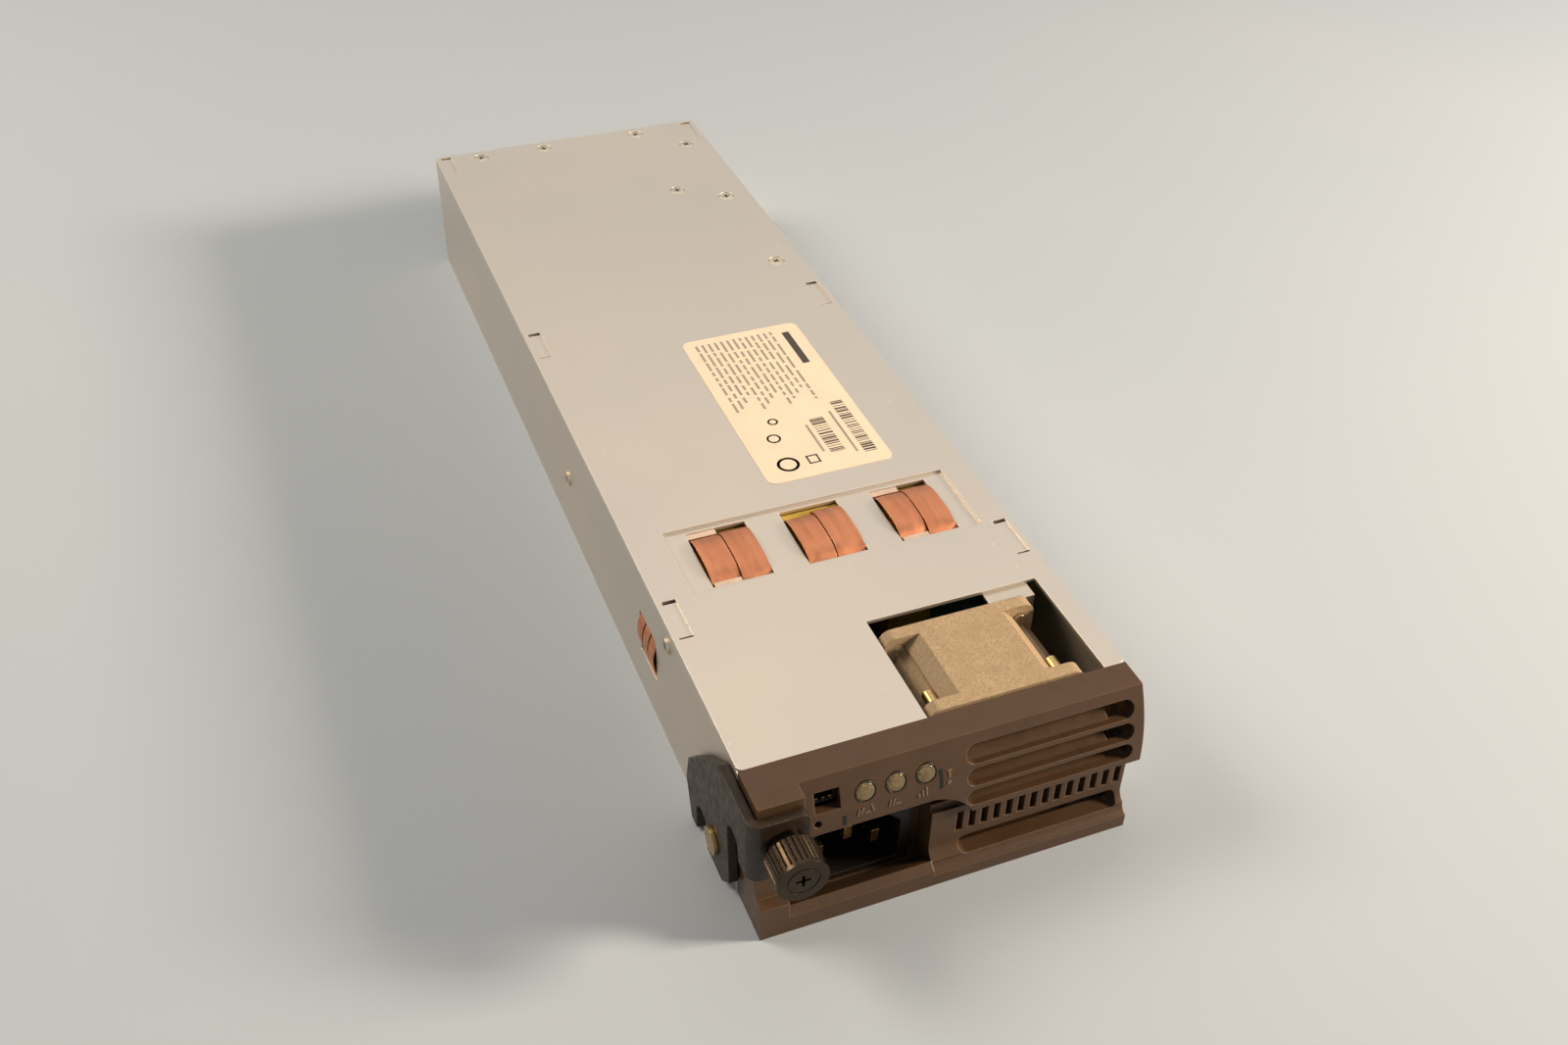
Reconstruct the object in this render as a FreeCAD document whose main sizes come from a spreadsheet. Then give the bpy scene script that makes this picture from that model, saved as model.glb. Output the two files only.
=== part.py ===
import FreeCAD, Part
import math
import os
import re

import Sketcher

# Hot swap server power supply: a one-unit-high steel case with a moulded front bezel, a cooling fan,
# a mains inlet and an ejector lever that a captive thumbscrew locks.
# Frame: X to the right, Y to the back, Z up. The origin is the middle of the case's underside.

SIZES = {
    # case
    "case_width": 96,
    "case_length": 308,
    "case_height": 41,
    "cover_corner": 1.5,
    "steel": 1.0,
    "play": 0.15,
    "thread_play": 0.05,
    "rear_flange": 8,
    # fan cut-out in the cover
    "cutout_from_left": 45,
    "cutout_width": 45.5,
    "cutout_length": 33.5,
    # pressed pan that holds the top ground clips
    "pan_from_left": 9.8,
    "pan_width": 78.2,
    "pan_from_front": 57,
    "pan_length": 24.5,
    "pan_depth": 0.8,
    "window_width": 16,
    "window_length": 21.5,
    "window_pitch": 25.5,
    # ground clips
    "clip_gauge": 0.3,
    "clip_proud": 0.9,
    "clip_foot": 2.5,
    "clip_slit": 0.7,
    "side_window_from_front": 58,
    "side_window_length": 13,
    "side_window_height": 13.5,
    "side_window_middle": 20.7,
    "insulator_gauge": 0.4,
    "insulator_margin": 3,
    # locking tabs along both edges of the cover
    "tab_inset": 1.5,
    "tab_reach": 3.5,
    "tab_length": 14,
    "tab_slot": 0.9,
    "tab_dip": 0.4,
    "tab_front": 43,
    "tab_middle": 170,
    "tab_back_margin": 1,
    # small screws
    "cover_head_radius": 2.6,
    "cover_head_sink": 0.6,
    "cover_shank_radius": 1.4,
    "cover_shank_length": 4,
    "rear_screw_inset": 5,
    "rear_screw_first": 15.3,
    "rear_screw_second": 38.1,
    "rear_screw_third": 72.5,
    "sink_screw_inset": 8.5,
    "sink_screw_first": 200,
    "sink_screw_second": 247,
    "sink_screw_third": 289.5,
    "inner_screw_inset": 23,
    "inner_screw_from_front": 256.6,
    "side_head_radius": 2.2,
    "side_head_height": 0.7,
    "side_shank_radius": 1.3,
    "side_shank_length": 3,
    "side_screw_front": 48,
    "side_screw_front_drop": 5.8,
    "side_screw_back": 138,
    "side_screw_back_drop": 20.4,
    # blank rating label
    "label_from_left": 42.6,
    "label_from_front": 90.5,
    "label_width": 36.3,
    "label_length": 73,
    "label_gauge": 0.12,
    "label_corner": 2.5,
    # rear wall
    "vent_radius": 2.1,
    "vent_pitch": 5.6,
    "vent_columns": 7,
    "vent_rows": 5,
    "vent_margin": 7,
    "vent_level": 8,
    "connector_inset": 6,
    "connector_width": 44,
    "connector_height": 14,
    "connector_length": 20,
    "connector_proud": 4,
    # bezel
    "bezel_wall": 2.0,
    "bezel_strip": 7.5,
    "shell_depth": 12.6,
    "shell_drop": 20.5,
    "panel_depth": 10.5,
    "panel_step_in": 2,
    "lip_depth": 14.5,
    "lip_height": 3.6,
    "flare_rise": 9,
    "block_width": 10.8,
    "block_depth": 11.8,
    "foot_width": 7,
    "foot_height": 11,
    "waist_depth": 9.4,
    "tongue_length": 4.4,
    "louvre_left": 50.4,
    "louvre_right": 93.4,
    "louvre_height": 4.7,
    "louvre_pitch": 5.75,
    "louvre_first_drop": 4.9,
    "louvre_count": 3,
    "vane_gauge": 1.0,
    "vane_rise": 2.6,
    "vane_root": 0.3,
    "vane_gap": 5,
    "low_slot_height": 4.2,
    "low_slot_level": 7.6,
    "grille_count": 14,
    "grille_pitch": 3.2,
    "grille_slot": 1.7,
    "grille_height": 6.4,
    "grille_level": 15.4,
    # indicators and service connector
    "lens_radius": 2.5,
    "lens_level": 35,
    "lens_first": 25.8,
    "lens_pitch": 7.3,
    "lens_proud": 0.2,
    "lens_length": 6.5,
    "indicator_gauge": 1.6,
    "indicator_setback": 3,
    "header_width": 6,
    "header_height": 5,
    "header_left": 13.8,
    "header_level": 35.3,
    "header_depth": 5,
    "contact_width": 0.8,
    "contact_pitch": 1.6,
    "header_wall": 0.6,
    "light_width": 2,
    "light_height": 1,
    "pinhole_radius": 0.9,
    "pinhole_left": 14.2,
    "pinhole_level": 30.3,
    # mains inlet
    "inlet_middle": 25.5,
    "inlet_level": 12,
    "inlet_setback": 6,
    "inlet_flange_width": 29,
    "inlet_flange_height": 20,
    "inlet_flange_gauge": 2,
    "inlet_body_width": 27,
    "inlet_body_height": 19,
    "inlet_body_length": 21,
    "cavity_width": 24,
    "cavity_height": 16.4,
    "cavity_depth": 17,
    "cavity_bevel": 4,
    "bay_right": 43,
    "bay_drop": 13.5,
    "bay_curve": 9,
    "pin_width": 2,
    "pin_height": 4,
    "pin_length": 14.5,
    "pin_pitch": 7,
    "pin_offset": 2,
    "pin_tail": 5,
    # ejector lever
    "lever_gauge": 2.2,
    "lever_gap": 0.5,
    "lever_bend": 3,
    "pivot_from_front": 8.5,
    "pivot_level": 10,
    "pivot_radius": 2,
    "pivot_clearance": 0.06,
    "pivot_head_radius": 3.5,
    "pivot_head_height": 0.9,
    "flange_reach": 11.2,
    "flange_gap": 0.4,
    "flange_top": 38.5,
    "flange_bottom": 21,
    "crown_back": 5,
    "shoulder_back": 17,
    "shoulder_level": 29,
    "elbow_back": 25.7,
    "elbow_level": 20,
    "heel_back": 27.6,
    "heel_level": 11.8,
    "toe_back": 24.2,
    "toe_level": 0.9,
    "notch_front": 12.9,
    "notch_back": 20.5,
    "notch_rise": 7.5,
    "tail_front": 3,
    "tail_level": 1.7,
    "tail_tip_front": 1.7,
    "tail_tip_level": 6.2,
    "throat_width": 7,
    "throat_level": 24,
    # captive thumbscrew
    "screw_from_left": 5.5,
    "screw_level": 30.8,
    "screw_radius": 2,
    "screw_clearance": 0.06,
    "screw_travel": 2.5,
    "ferrule_radius": 4.6,
    "ferrule_shown": 2.7,
    "ferrule_lap": 2.3,
    "ferrule_seat_radius": 3.4,
    "ring_radius": 3.0,
    "ring_gauge": 0.8,
    "knob_radius": 6,
    "knob_length": 7.5,
    "knob_flutes": 30,
    "flute_depth": 0.4,
    "knob_face": 2.2,
    "knob_rim": 0.9,
    "ring_groove": 0.5,
    "ring_split": 1.2,
    "ferrule_wall": 0.9,
    "flange_corner": 2,
    "recess_reach": 1.7,
    "recess_slot": 0.7,
    "recess_depth": 1.5,
    "insert_radius": 3.2,
    "insert_length": 6,
    # cooling fan
    "fan_size": 40,
    "fan_depth": 28,
    "fan_setback": 1,
    "fan_from_left": 66.2,
    "fan_flange": 3.5,
    "fan_corner": 3,
    "fan_flat": 22,
    "fan_bore": 18.8,
    "fan_hole_pitch": 32,
    "fan_hole_radius": 1.75,
    "fan_hub_plate": 3,
    "fan_arm": 2.4,
    "tube_radius": 3.2,
    "tube_bore": 2.5,
    "tube_length": 17,
    "hub_radius": 9.5,
    "hub_wall": 1.2,
    "hub_length": 22,
    "hub_setback": 1.5,
    "hub_gap": 0.5,
    "blade_tip": 17.3,
    "blade_gauge": 1.0,
    "blade_root_sweep": 5,
    "blade_tip_sweep": 10,
    "blade_span": 15,
    "blade_count": 7,
    "magnet_gauge": 0.9,
    "magnet_length": 15,
    "stator_radius": 6.8,
    "stator_length": 9,
    "fan_shaft_radius": 1,
    "bearing_clearance": 0.04,
    "bearing_length": 2.5,
    "fan_screw_radius": 1.6,
    "fan_screw_head": 2.8,
    "fan_screw_head_height": 1.6,
    "fan_screw_length": 12,
    "bracket_gauge": 0.8,
    "bracket_width": 12,
    "bracket_drop": 14,
    "bracket_foot": 6,
    "bracket_screw_head": 2,
    "blade_lead": 2.5,
    "stator_slot": 1.2,
    # main board and what stands on it
    "board_front": 36,
    "board_back": 3,
    "board_margin": 2,
    "board_gauge": 1.6,
    "standoff_height": 5,
    "standoff_radius": 2.6,
    "standoff_inset": 6,
    "standoff_back": 4,
    "board_screw_radius": 1.4,
    "board_head_radius": 2.6,
    "board_head_height": 1.6,
    "sink_web": 2.5,
    "sink_reach": 9,
    "sink_fin": 1.3,
    "sink_fins": 6,
    "sink_flange_reach": 22,
    "left_sink_front": 84,
    "left_sink_length": 92,
    "right_sink_front": 190,
    "right_sink_length": 106,
    "sink_height": 28,
    "transistor_width": 15.6,
    "transistor_height": 21,
    "transistor_gauge": 5,
    "transistor_lift": 5,
    "transistor_pitch": 24,
    "leg_width": 1.1,
    "leg_pitch": 5,
    "bulk_radius": 13,
    "bulk_height": 29,
    "bulk_front": 100,
    "bulk_pitch": 29,
    "bulk_across": 14,
    "choke_ring": 12,
    "choke_wire": 6,
    "choke_front": 162,
    "choke_base": 2,
    "core_width": 42,
    "core_length": 34,
    "core_height": 29,
    "core_leg": 9,
    "core_front": 190,
    "filter_front": 56,
    "filter_length": 26,
    "filter_width": 24,
    "filter_height": 24,
    "film_length": 26,
    "film_width": 12,
    "film_height": 20,
    "output_from_left": 14,
    "output_can_radius": 5,
    "output_can_height": 22,
    "output_can_pitch": 11.5,
    "output_can_count": 4,
    "output_can_front": 262,
    "output_choke_front": 235,
    "output_choke_length": 20,
    "output_choke_width": 30,
    "output_choke_height": 18,
    "control_length": 62,
    "control_height": 26,
    "control_front": 228,
    "power_blade_gauge": 1.4,
    "power_blade_pitch": 6,
    "power_blade_count": 6,
    "connector_wall": 1.6,
}


# Places in the case that many pieces share
DECK = "(steel + standoff_height + board_gauge)"
LEFT = "(-case_width / 2)"
RIGHT = "(case_width / 2)"
FRONT = "(-case_length / 2)"
BACK = "(case_length / 2)"
LID_UNDER = "(case_height - steel)"
WALL_LEFT = "(-case_width / 2 + steel)"
WALL_RIGHT = "(case_width / 2 - steel)"

X = FreeCAD.Vector(1, 0, 0)
Y = FreeCAD.Vector(0, 1, 0)
Z = FreeCAD.Vector(0, 0, 1)

doc = FreeCAD.newDocument("hot_swap_power_supply")
sheet = doc.addObject("Spreadsheet::Sheet", "Sizes")
for row, (alias, size) in enumerate(SIZES.items(), start=1):
    sheet.set(f"A{row}", alias)
    sheet.set(f"B{row}", str(size))
    sheet.setAlias(f"B{row}", alias)
doc.recompute()

nodes = []


# ---- expressions -------------------------------------------------------------------------------

def linked(text):
    """The expression with every size name pointing at its cell of the sheet."""
    return re.sub(r"[a-z][a-z_]+", lambda m: "Sizes." + m.group() if m.group() in SIZES else m.group(), text)


def bind(thing, prop, text):
    thing.setExpression(prop, linked(text))


def value(text):
    return float(sheet.evalExpression(text))


# ---- sketches and features ----------------------------------------------------------------------

def new_body(label):
    body = doc.addObject("PartDesign::Body", label)
    body.Label = label
    nodes.append(body)
    return body


def new_sketch(body, role, offset="0"):
    """A sketch on one of the body's own origin planes, moved along the plane's normal."""
    sketch = body.newObject("Sketcher::SketchObject", body.Name + "_sketch")
    origin_plane = [item for item in body.Origin.OriginFeatures if item.Role == role][0]
    sketch.AttachmentSupport = (origin_plane, [""])
    sketch.MapMode = "FlatFace"
    bind(sketch, "AttachmentOffset.Base.z", offset)
    return sketch


def fix(sketch, kind, geometry, point, text):
    index = sketch.addConstraint(Sketcher.Constraint(kind, -1, 1, geometry, point, value(text)))
    bind(sketch, f"Constraints[{index}]", text)


def fix_radius(sketch, geometry, text):
    index = sketch.addConstraint(Sketcher.Constraint("Radius", geometry, value(text)))
    bind(sketch, f"Constraints[{index}]", text)


def arc_through(start, end, radius, side):
    """An arc from start to end; side +1 puts its centre on the left of that way, -1 on the right."""
    middle = (start + end) * 0.5
    chord = end - start
    rise = math.sqrt(max(radius * radius - chord.Length ** 2 / 4, 0))
    across = FreeCAD.Vector(-chord.y, chord.x, 0).normalize()
    centre = middle + across * (rise * side)
    first = math.atan2(start.y - centre.y, start.x - centre.x)
    last = math.atan2(end.y - centre.y, end.x - centre.x)
    circle = Part.Circle(centre, Z, radius)
    if side > 0:
        return Part.ArcOfCircle(circle, first, last if last > first else last + 2 * math.pi)
    return Part.ArcOfCircle(circle, last, first if first > last else first + 2 * math.pi)


def draw(sketch, corners):
    """A closed outline. A corner is (x, y), or (x, y, radius, side) where an arc leads on from it."""
    places = [FreeCAD.Vector(value(corner[0]), value(corner[1]), 0) for corner in corners]
    pieces = []
    for number, corner in enumerate(corners):
        start = places[number]
        end = places[(number + 1) % len(corners)]
        if len(corner) == 2:
            piece = sketch.addGeometry(Part.LineSegment(start, end), False)
            pieces.append((piece, 1, 2))
        else:
            piece = sketch.addGeometry(arc_through(start, end, value(corner[2]), corner[3]), False)
            pieces.append((piece, 1, 2) if corner[3] > 0 else (piece, 2, 1))
    for number, (piece, first, last) in enumerate(pieces):
        following = pieces[(number + 1) % len(pieces)]
        sketch.addConstraint(Sketcher.Constraint("Coincident", piece, last, following[0], following[1]))
    for corner, (piece, first, last) in zip(corners, pieces):
        fix(sketch, "DistanceX", piece, first, corner[0])
        fix(sketch, "DistanceY", piece, first, corner[1])
        if len(corner) > 2:
            fix_radius(sketch, piece, corner[2])


def draw_box(sketch, left, low, right, high):
    draw(sketch, [(left, low), (right, low), (right, high), (left, high)])


def draw_circle(sketch, across, up, radius):
    centre = FreeCAD.Vector(value(across), value(up), 0)
    ring = sketch.addGeometry(Part.Circle(centre, Z, value(radius)), False)
    fix(sketch, "DistanceX", ring, 3, across)
    fix(sketch, "DistanceY", ring, 3, up)
    fix_radius(sketch, ring, radius)


def draw_slot(sketch, left, right, middle, height):
    """A level slot with round ends, left and right being its tips."""
    half = f"({height}) / 2"
    low = f"({middle}) - {half}"
    high = f"({middle}) + {half}"
    near = f"({left}) + {half}"
    far = f"({right}) - {half}"
    ends = []
    for across, start in ((near, math.pi / 2), (far, -math.pi / 2)):
        centre = FreeCAD.Vector(value(across), value(middle), 0)
        circle = Part.Circle(centre, Z, value(half))
        ends.append(sketch.addGeometry(Part.ArcOfCircle(circle, start, start + math.pi), False))
    sides = []
    for up in (low, high):
        start = FreeCAD.Vector(value(near), value(up), 0)
        end = FreeCAD.Vector(value(far), value(up), 0)
        sides.append(sketch.addGeometry(Part.LineSegment(start, end), False))
    for end, point, side, corner in ((0, 2, 0, 1), (0, 1, 1, 1), (1, 1, 0, 2), (1, 2, 1, 2)):
        sketch.addConstraint(Sketcher.Constraint("Tangent", ends[end], point, sides[side], corner))
    fix(sketch, "DistanceX", ends[0], 3, near)
    fix(sketch, "DistanceY", ends[0], 3, middle)
    fix(sketch, "DistanceX", ends[1], 3, far)
    sketch.addConstraint(Sketcher.Constraint("Horizontal", sides[0]))
    fix_radius(sketch, ends[0], half)


def pad(body, sketch, length, reverse=False, both=False):
    feature = body.newObject("PartDesign::Pad", body.Name + "_pad")
    feature.Profile = sketch
    feature.Reversed = reverse
    feature.Midplane = both
    bind(feature, "Length", length)
    return feature


def pocket(body, sketch, length=None, reverse=False, both=False):
    """A cut against the sketch's normal, or along it when reversed; with no length it goes right through."""
    feature = body.newObject("PartDesign::Pocket", body.Name + "_pocket")
    feature.Profile = sketch
    feature.Reversed = reverse
    feature.Midplane = both
    if length is None:
        feature.Type = "ThroughAll"
    else:
        bind(feature, "Length", length)
    return feature


def along(body, features, axis, step, count):
    """The features repeated in a row along one of the body's axes."""
    pattern = body.newObject("PartDesign::LinearPattern", body.Name + "_row")
    pattern.Originals = features
    origin_axis = [item for item in body.Origin.OriginFeatures if item.Role == axis][0]
    pattern.Direction = (origin_axis, [""])
    bind(pattern, "Length", f"({step}) * (({count}) - 1)")
    bind(pattern, "Occurrences", count)
    body.Tip = pattern
    return pattern


def place(body, across, back, up):
    for axis, text in (("x", across), ("y", back), ("z", up)):
        bind(body, "Placement.Base." + axis, text)


def around(body, features, axis, count):
    """The features repeated round the normal through a sketch's own origin."""
    pattern = body.newObject("PartDesign::PolarPattern", body.Name + "_ring")
    pattern.Originals = features
    pattern.Axis = axis
    pattern.Angle = 360
    bind(pattern, "Occurrences", count)
    body.Tip = pattern
    return pattern


def round_edges(body, radius, wanted):
    """A fillet on every edge of the body so far that the test picks."""
    doc.recompute()
    base = body.Tip
    names = [f"Edge{i}" for i, edge in enumerate(base.Shape.Edges, start=1) if wanted(edge)]
    feature = body.newObject("PartDesign::Fillet", body.Name + "_round")
    feature.Base = (base, names)
    bind(feature, "Radius", radius)
    return feature


def is_at(number, text):
    return abs(number - value(text)) < 0.01


def runs_along(edge, axis):
    """Whether the edge is straight and parallel to the axis."""
    if not isinstance(edge.Curve, Part.Line):
        return False
    return abs(edge.Curve.Direction.dot(axis)) > 0.999


# ---- primitives ---------------------------------------------------------------------------------

def keep(thing, label):
    thing.Label = label
    nodes.append(thing)
    return thing


def block(low, high):
    box = doc.addObject("Part::Box", "block")
    for prop, axis, start, end in zip(("Length", "Width", "Height"), "xyz", low, high):
        bind(box, prop, f"({end}) - ({start})")
        bind(box, f"Placement.Base.{axis}", start)
    return box


def rod(axis, across, start, end, radius):
    """A cylinder along X, Y or Z; across holds its two other coordinates in X, Y, Z order."""
    cylinder = doc.addObject("Part::Cylinder", "rod")
    turn = {"x": FreeCAD.Rotation(Y, 90), "y": FreeCAD.Rotation(X, -90), "z": FreeCAD.Rotation()}[axis]
    cylinder.Placement = FreeCAD.Placement(FreeCAD.Vector(), turn)
    others = [name for name in "xyz" if name != axis]
    bind(cylinder, "Placement.Base." + axis, start)
    bind(cylinder, "Placement.Base." + others[0], across[0])
    bind(cylinder, "Placement.Base." + others[1], across[1])
    bind(cylinder, "Height", f"({end}) - ({start})")
    bind(cylinder, "Radius", radius)
    return cylinder


def fused(pieces):
    if len(pieces) == 1:
        return pieces[0]
    union = doc.addObject("Part::MultiFuse", "fused")
    union.Shapes = pieces
    return union


def cut(base, tools):
    result = doc.addObject("Part::Cut", "cut")
    result.Base = base
    result.Tool = fused(tools)
    return result


def tube(axis, across, start, end, radius, bore):
    return cut(rod(axis, across, start, end, radius), [rod(axis, across, start, end, bore)])


def group(pieces):
    """Separate solids that share a node."""
    compound = doc.addObject("Part::Compound", "group")
    compound.Links = pieces
    return compound


# ---- case ---------------------------------------------------------------------------------------

SIDE_LOW = "(side_window_middle - side_window_height / 2)"
SIDE_HIGH = "(side_window_middle + side_window_height / 2)"
SIDE_WINDOW = (f"{FRONT} + side_window_from_front", SIDE_LOW,
               f"{FRONT} + side_window_from_front + side_window_length", SIDE_HIGH)
CONNECTOR_LEFT = f"({WALL_LEFT} + connector_inset)"
CONNECTOR_RIGHT = f"({CONNECTOR_LEFT} + connector_width)"
REAR_SCREWS = [(f"{LEFT} + {name}", f"{BACK} - rear_screw_inset")
               for name in ("rear_screw_first", "rear_screw_second", "rear_screw_third")]
SINK_SCREWS = [(f"{RIGHT} - sink_screw_inset", f"{FRONT} + {name}")
               for name in ("sink_screw_first", "sink_screw_second", "sink_screw_third")]
SINK_SCREWS.append((f"{RIGHT} - inner_screw_inset", f"{FRONT} + inner_screw_from_front"))
SIDE_SCREWS = [(f"{FRONT} + side_screw_front", "case_height - side_screw_front_drop"),
               (f"{FRONT} + side_screw_back", "case_height - side_screw_back_drop")]
PIVOT = (f"{FRONT} + pivot_from_front", "pivot_level")


def base_chassis():
    """The folded tray: floor, two sides, a rear wall with vents and a lip under the cover."""
    body = new_body("base_chassis")
    outside = new_sketch(body, "XY_Plane")
    draw_box(outside, LEFT, FRONT, RIGHT, BACK)
    pad(body, outside, LID_UNDER)
    inside = new_sketch(body, "XY_Plane", LID_UNDER)
    draw_box(inside, WALL_LEFT, f"{FRONT} - steel", WALL_RIGHT, f"{BACK} - steel")
    pocket(body, inside, f"{LID_UNDER} - steel")
    lip = new_sketch(body, "XY_Plane", LID_UNDER)
    draw_box(lip, f"{WALL_LEFT} - steel / 2", f"{BACK} - rear_flange",
             f"{WALL_RIGHT} + steel / 2", f"{BACK} - steel / 2")
    pad(body, lip, "steel", reverse=True)
    holes = new_sketch(body, "XY_Plane", LID_UNDER)
    for across, back in REAR_SCREWS:
        draw_circle(holes, across, back, "cover_shank_radius")
    pocket(body, holes, "steel")
    windows = new_sketch(body, "YZ_Plane")
    draw_box(windows, *SIDE_WINDOW)
    for back, up in SIDE_SCREWS:
        draw_circle(windows, back, up, "side_shank_radius")
    pocket(body, windows, "case_width * 2", both=True)
    pivot = new_sketch(body, "YZ_Plane")
    draw_circle(pivot, *PIVOT, "pivot_radius")
    pocket(body, pivot, "case_width")
    opening = new_sketch(body, "XZ_Plane", f"-{BACK}")
    draw_box(opening, f"{CONNECTOR_LEFT} - play", f"{DECK} - play",
             f"{CONNECTOR_RIGHT} + play", f"{DECK} + connector_height + play")
    pocket(body, opening, "steel", reverse=True)
    vent = new_sketch(body, "XZ_Plane", f"-{BACK}")
    middle = f"({WALL_RIGHT} - vent_margin)"
    rise = "(vent_radius * 0.866)"
    draw(vent, [(f"{middle} + vent_radius", "vent_level"), (f"{middle} + vent_radius / 2", f"vent_level + {rise}"),
                (f"{middle} - vent_radius / 2", f"vent_level + {rise}"), (f"{middle} - vent_radius", "vent_level"),
                (f"{middle} - vent_radius / 2", f"vent_level - {rise}"),
                (f"{middle} + vent_radius / 2", f"vent_level - {rise}")])
    vents = pocket(body, vent, "steel", reverse=True)
    rows = body.newObject("PartDesign::MultiTransform", "vent_grid")
    rows.Originals = [vents]
    steps = [("X_Axis", "vent_columns", True), ("Z_Axis", "vent_rows", False)]
    for axis, count, backwards in steps:
        step = body.newObject("PartDesign::LinearPattern", "vent_step")
        step.Direction = ([item for item in body.Origin.OriginFeatures if item.Role == axis][0], [""])
        step.Reversed = backwards
        bind(step, "Length", f"vent_pitch * ({count} - 1)")
        bind(step, "Occurrences", count)
        rows.Transformations = rows.Transformations + [step]
    body.Tip = rows


def cover_tab_starts():
    return [f"{FRONT} + tab_front", f"{FRONT} + tab_middle", f"{BACK} - tab_back_margin - tab_length"]


def top_cover():
    """The flat lid: fan cut-out, pressed pan with three clip windows, and locking tabs on both edges."""
    body = new_body("top_cover")
    sheet_outline = new_sketch(body, "XY_Plane", LID_UNDER)
    draw_box(sheet_outline, LEFT, FRONT, RIGHT, BACK)
    pad(body, sheet_outline, "steel")
    pan_box = (f"{LEFT} + pan_from_left", f"{FRONT} + pan_from_front",
               f"{LEFT} + pan_from_left + pan_width", f"{FRONT} + pan_from_front + pan_length")
    pan_under = new_sketch(body, "XY_Plane", LID_UNDER)
    draw_box(pan_under, f"{pan_box[0]} - steel", f"{pan_box[1]} - steel",
             f"{pan_box[2]} + steel", f"{pan_box[3]} + steel")
    pad(body, pan_under, "pan_depth", reverse=True)
    pan = new_sketch(body, "XY_Plane", "case_height")
    draw_box(pan, *pan_box)
    pocket(body, pan, "pan_depth")
    for number in range(3):
        window = new_sketch(body, "XY_Plane", "case_height")
        draw_box(window, CLIP_LEFT[number], CLIP_FRONT,
                 f"{CLIP_LEFT[number]} + window_width", f"{CLIP_FRONT} + window_length")
        pocket(body, window, "steel * 2 + pan_depth")
    fan = new_sketch(body, "XY_Plane", "case_height")
    draw_box(fan, f"{LEFT} + cutout_from_left", f"{FRONT} - steel",
             f"{LEFT} + cutout_from_left + cutout_width", f"{FRONT} + cutout_length")
    pocket(body, fan, "steel * 2")
    for start in cover_tab_starts():
        for inner, outer in ((f"{LEFT} + tab_inset", f"{LEFT} + tab_inset + tab_reach"),
                             (f"{RIGHT} - tab_inset - tab_reach", f"{RIGHT} - tab_inset")):
            slots = new_sketch(body, "XY_Plane", "case_height")
            draw_box(slots, inner, start, outer, f"{start} + tab_slot")
            draw_box(slots, inner, f"{start} + tab_length - tab_slot", outer, f"{start} + tab_length")
            pocket(body, slots, "steel * 2")
            dip = new_sketch(body, "XY_Plane", "case_height")
            draw_box(dip, inner, f"{start} + tab_slot / 2", outer, f"{start} + tab_length - tab_slot / 2")
            pocket(body, dip, "tab_dip")
    for radius, depth in (("cover_shank_radius", "steel * 2"), ("cover_head_radius", "cover_head_sink")):
        holes = new_sketch(body, "XY_Plane", "case_height")
        for across, back in REAR_SCREWS + SINK_SCREWS:
            draw_circle(holes, across, back, radius)
        pocket(body, holes, depth)
    round_edges(body, "cover_corner", lambda edge: runs_along(edge, Z)
                and is_at(abs(edge.CenterOfMass.x), RIGHT) and is_at(abs(edge.CenterOfMass.y), BACK))


CLIP_LEFT = [f"({LEFT} + pan_from_left + pan_width / 2 + ({number} * window_pitch) - window_width / 2)"
             for number in (-1, 0, 1)]
CLIP_FRONT = f"({FRONT} + pan_from_front + (pan_length - window_length) / 2)"
PAN_UNDER = "(case_height - pan_depth - steel)"


def clip_outline(start, end, seat, outward):
    """The side of a sprung clip: two flat feet on the seat and a bowed back that stands outward."""
    chord = f"(({end}) - ({start}) - 2 * play)"
    bow = f"({chord} * {chord} / (8 * ({outward})) + ({outward}) / 2)"
    near = f"({start} + play)"
    far = f"({end} - play)"
    return [
        (f"{near} - clip_foot", f"({seat}) - clip_gauge"),
        (near, f"({seat}) - clip_gauge", f"{bow} - clip_gauge", -1),
        (far, f"({seat}) - clip_gauge"),
        (f"{far} + clip_foot", f"({seat}) - clip_gauge"),
        (f"{far} + clip_foot", seat),
        (far, seat, bow, 1),
        (near, seat),
        (f"{near} - clip_foot", seat),
    ]


def top_clip(number):
    """A copper ground clip: its feet sit under the pan and its two fingers bow out through a window."""
    body = new_body(f"ground_clip_{number + 1}")
    side = new_sketch(body, "YZ_Plane", f"{CLIP_LEFT[number]} + play")
    draw(side, clip_outline(CLIP_FRONT, f"{CLIP_FRONT} + window_length", PAN_UNDER,
                            "pan_depth + steel + clip_proud"))
    pad(body, side, "window_width - 2 * play")
    slit = new_sketch(body, "XY_Plane", "case_height + clip_proud * 2")
    middle = f"({CLIP_LEFT[number]} + window_width / 2)"
    draw_box(slit, f"{middle} - clip_slit / 2", f"{CLIP_FRONT} + clip_slit * 2",
             f"{middle} + clip_slit / 2", f"{CLIP_FRONT} + window_length - clip_slit * 2")
    pocket(body, slit, "case_height / 2")


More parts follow.
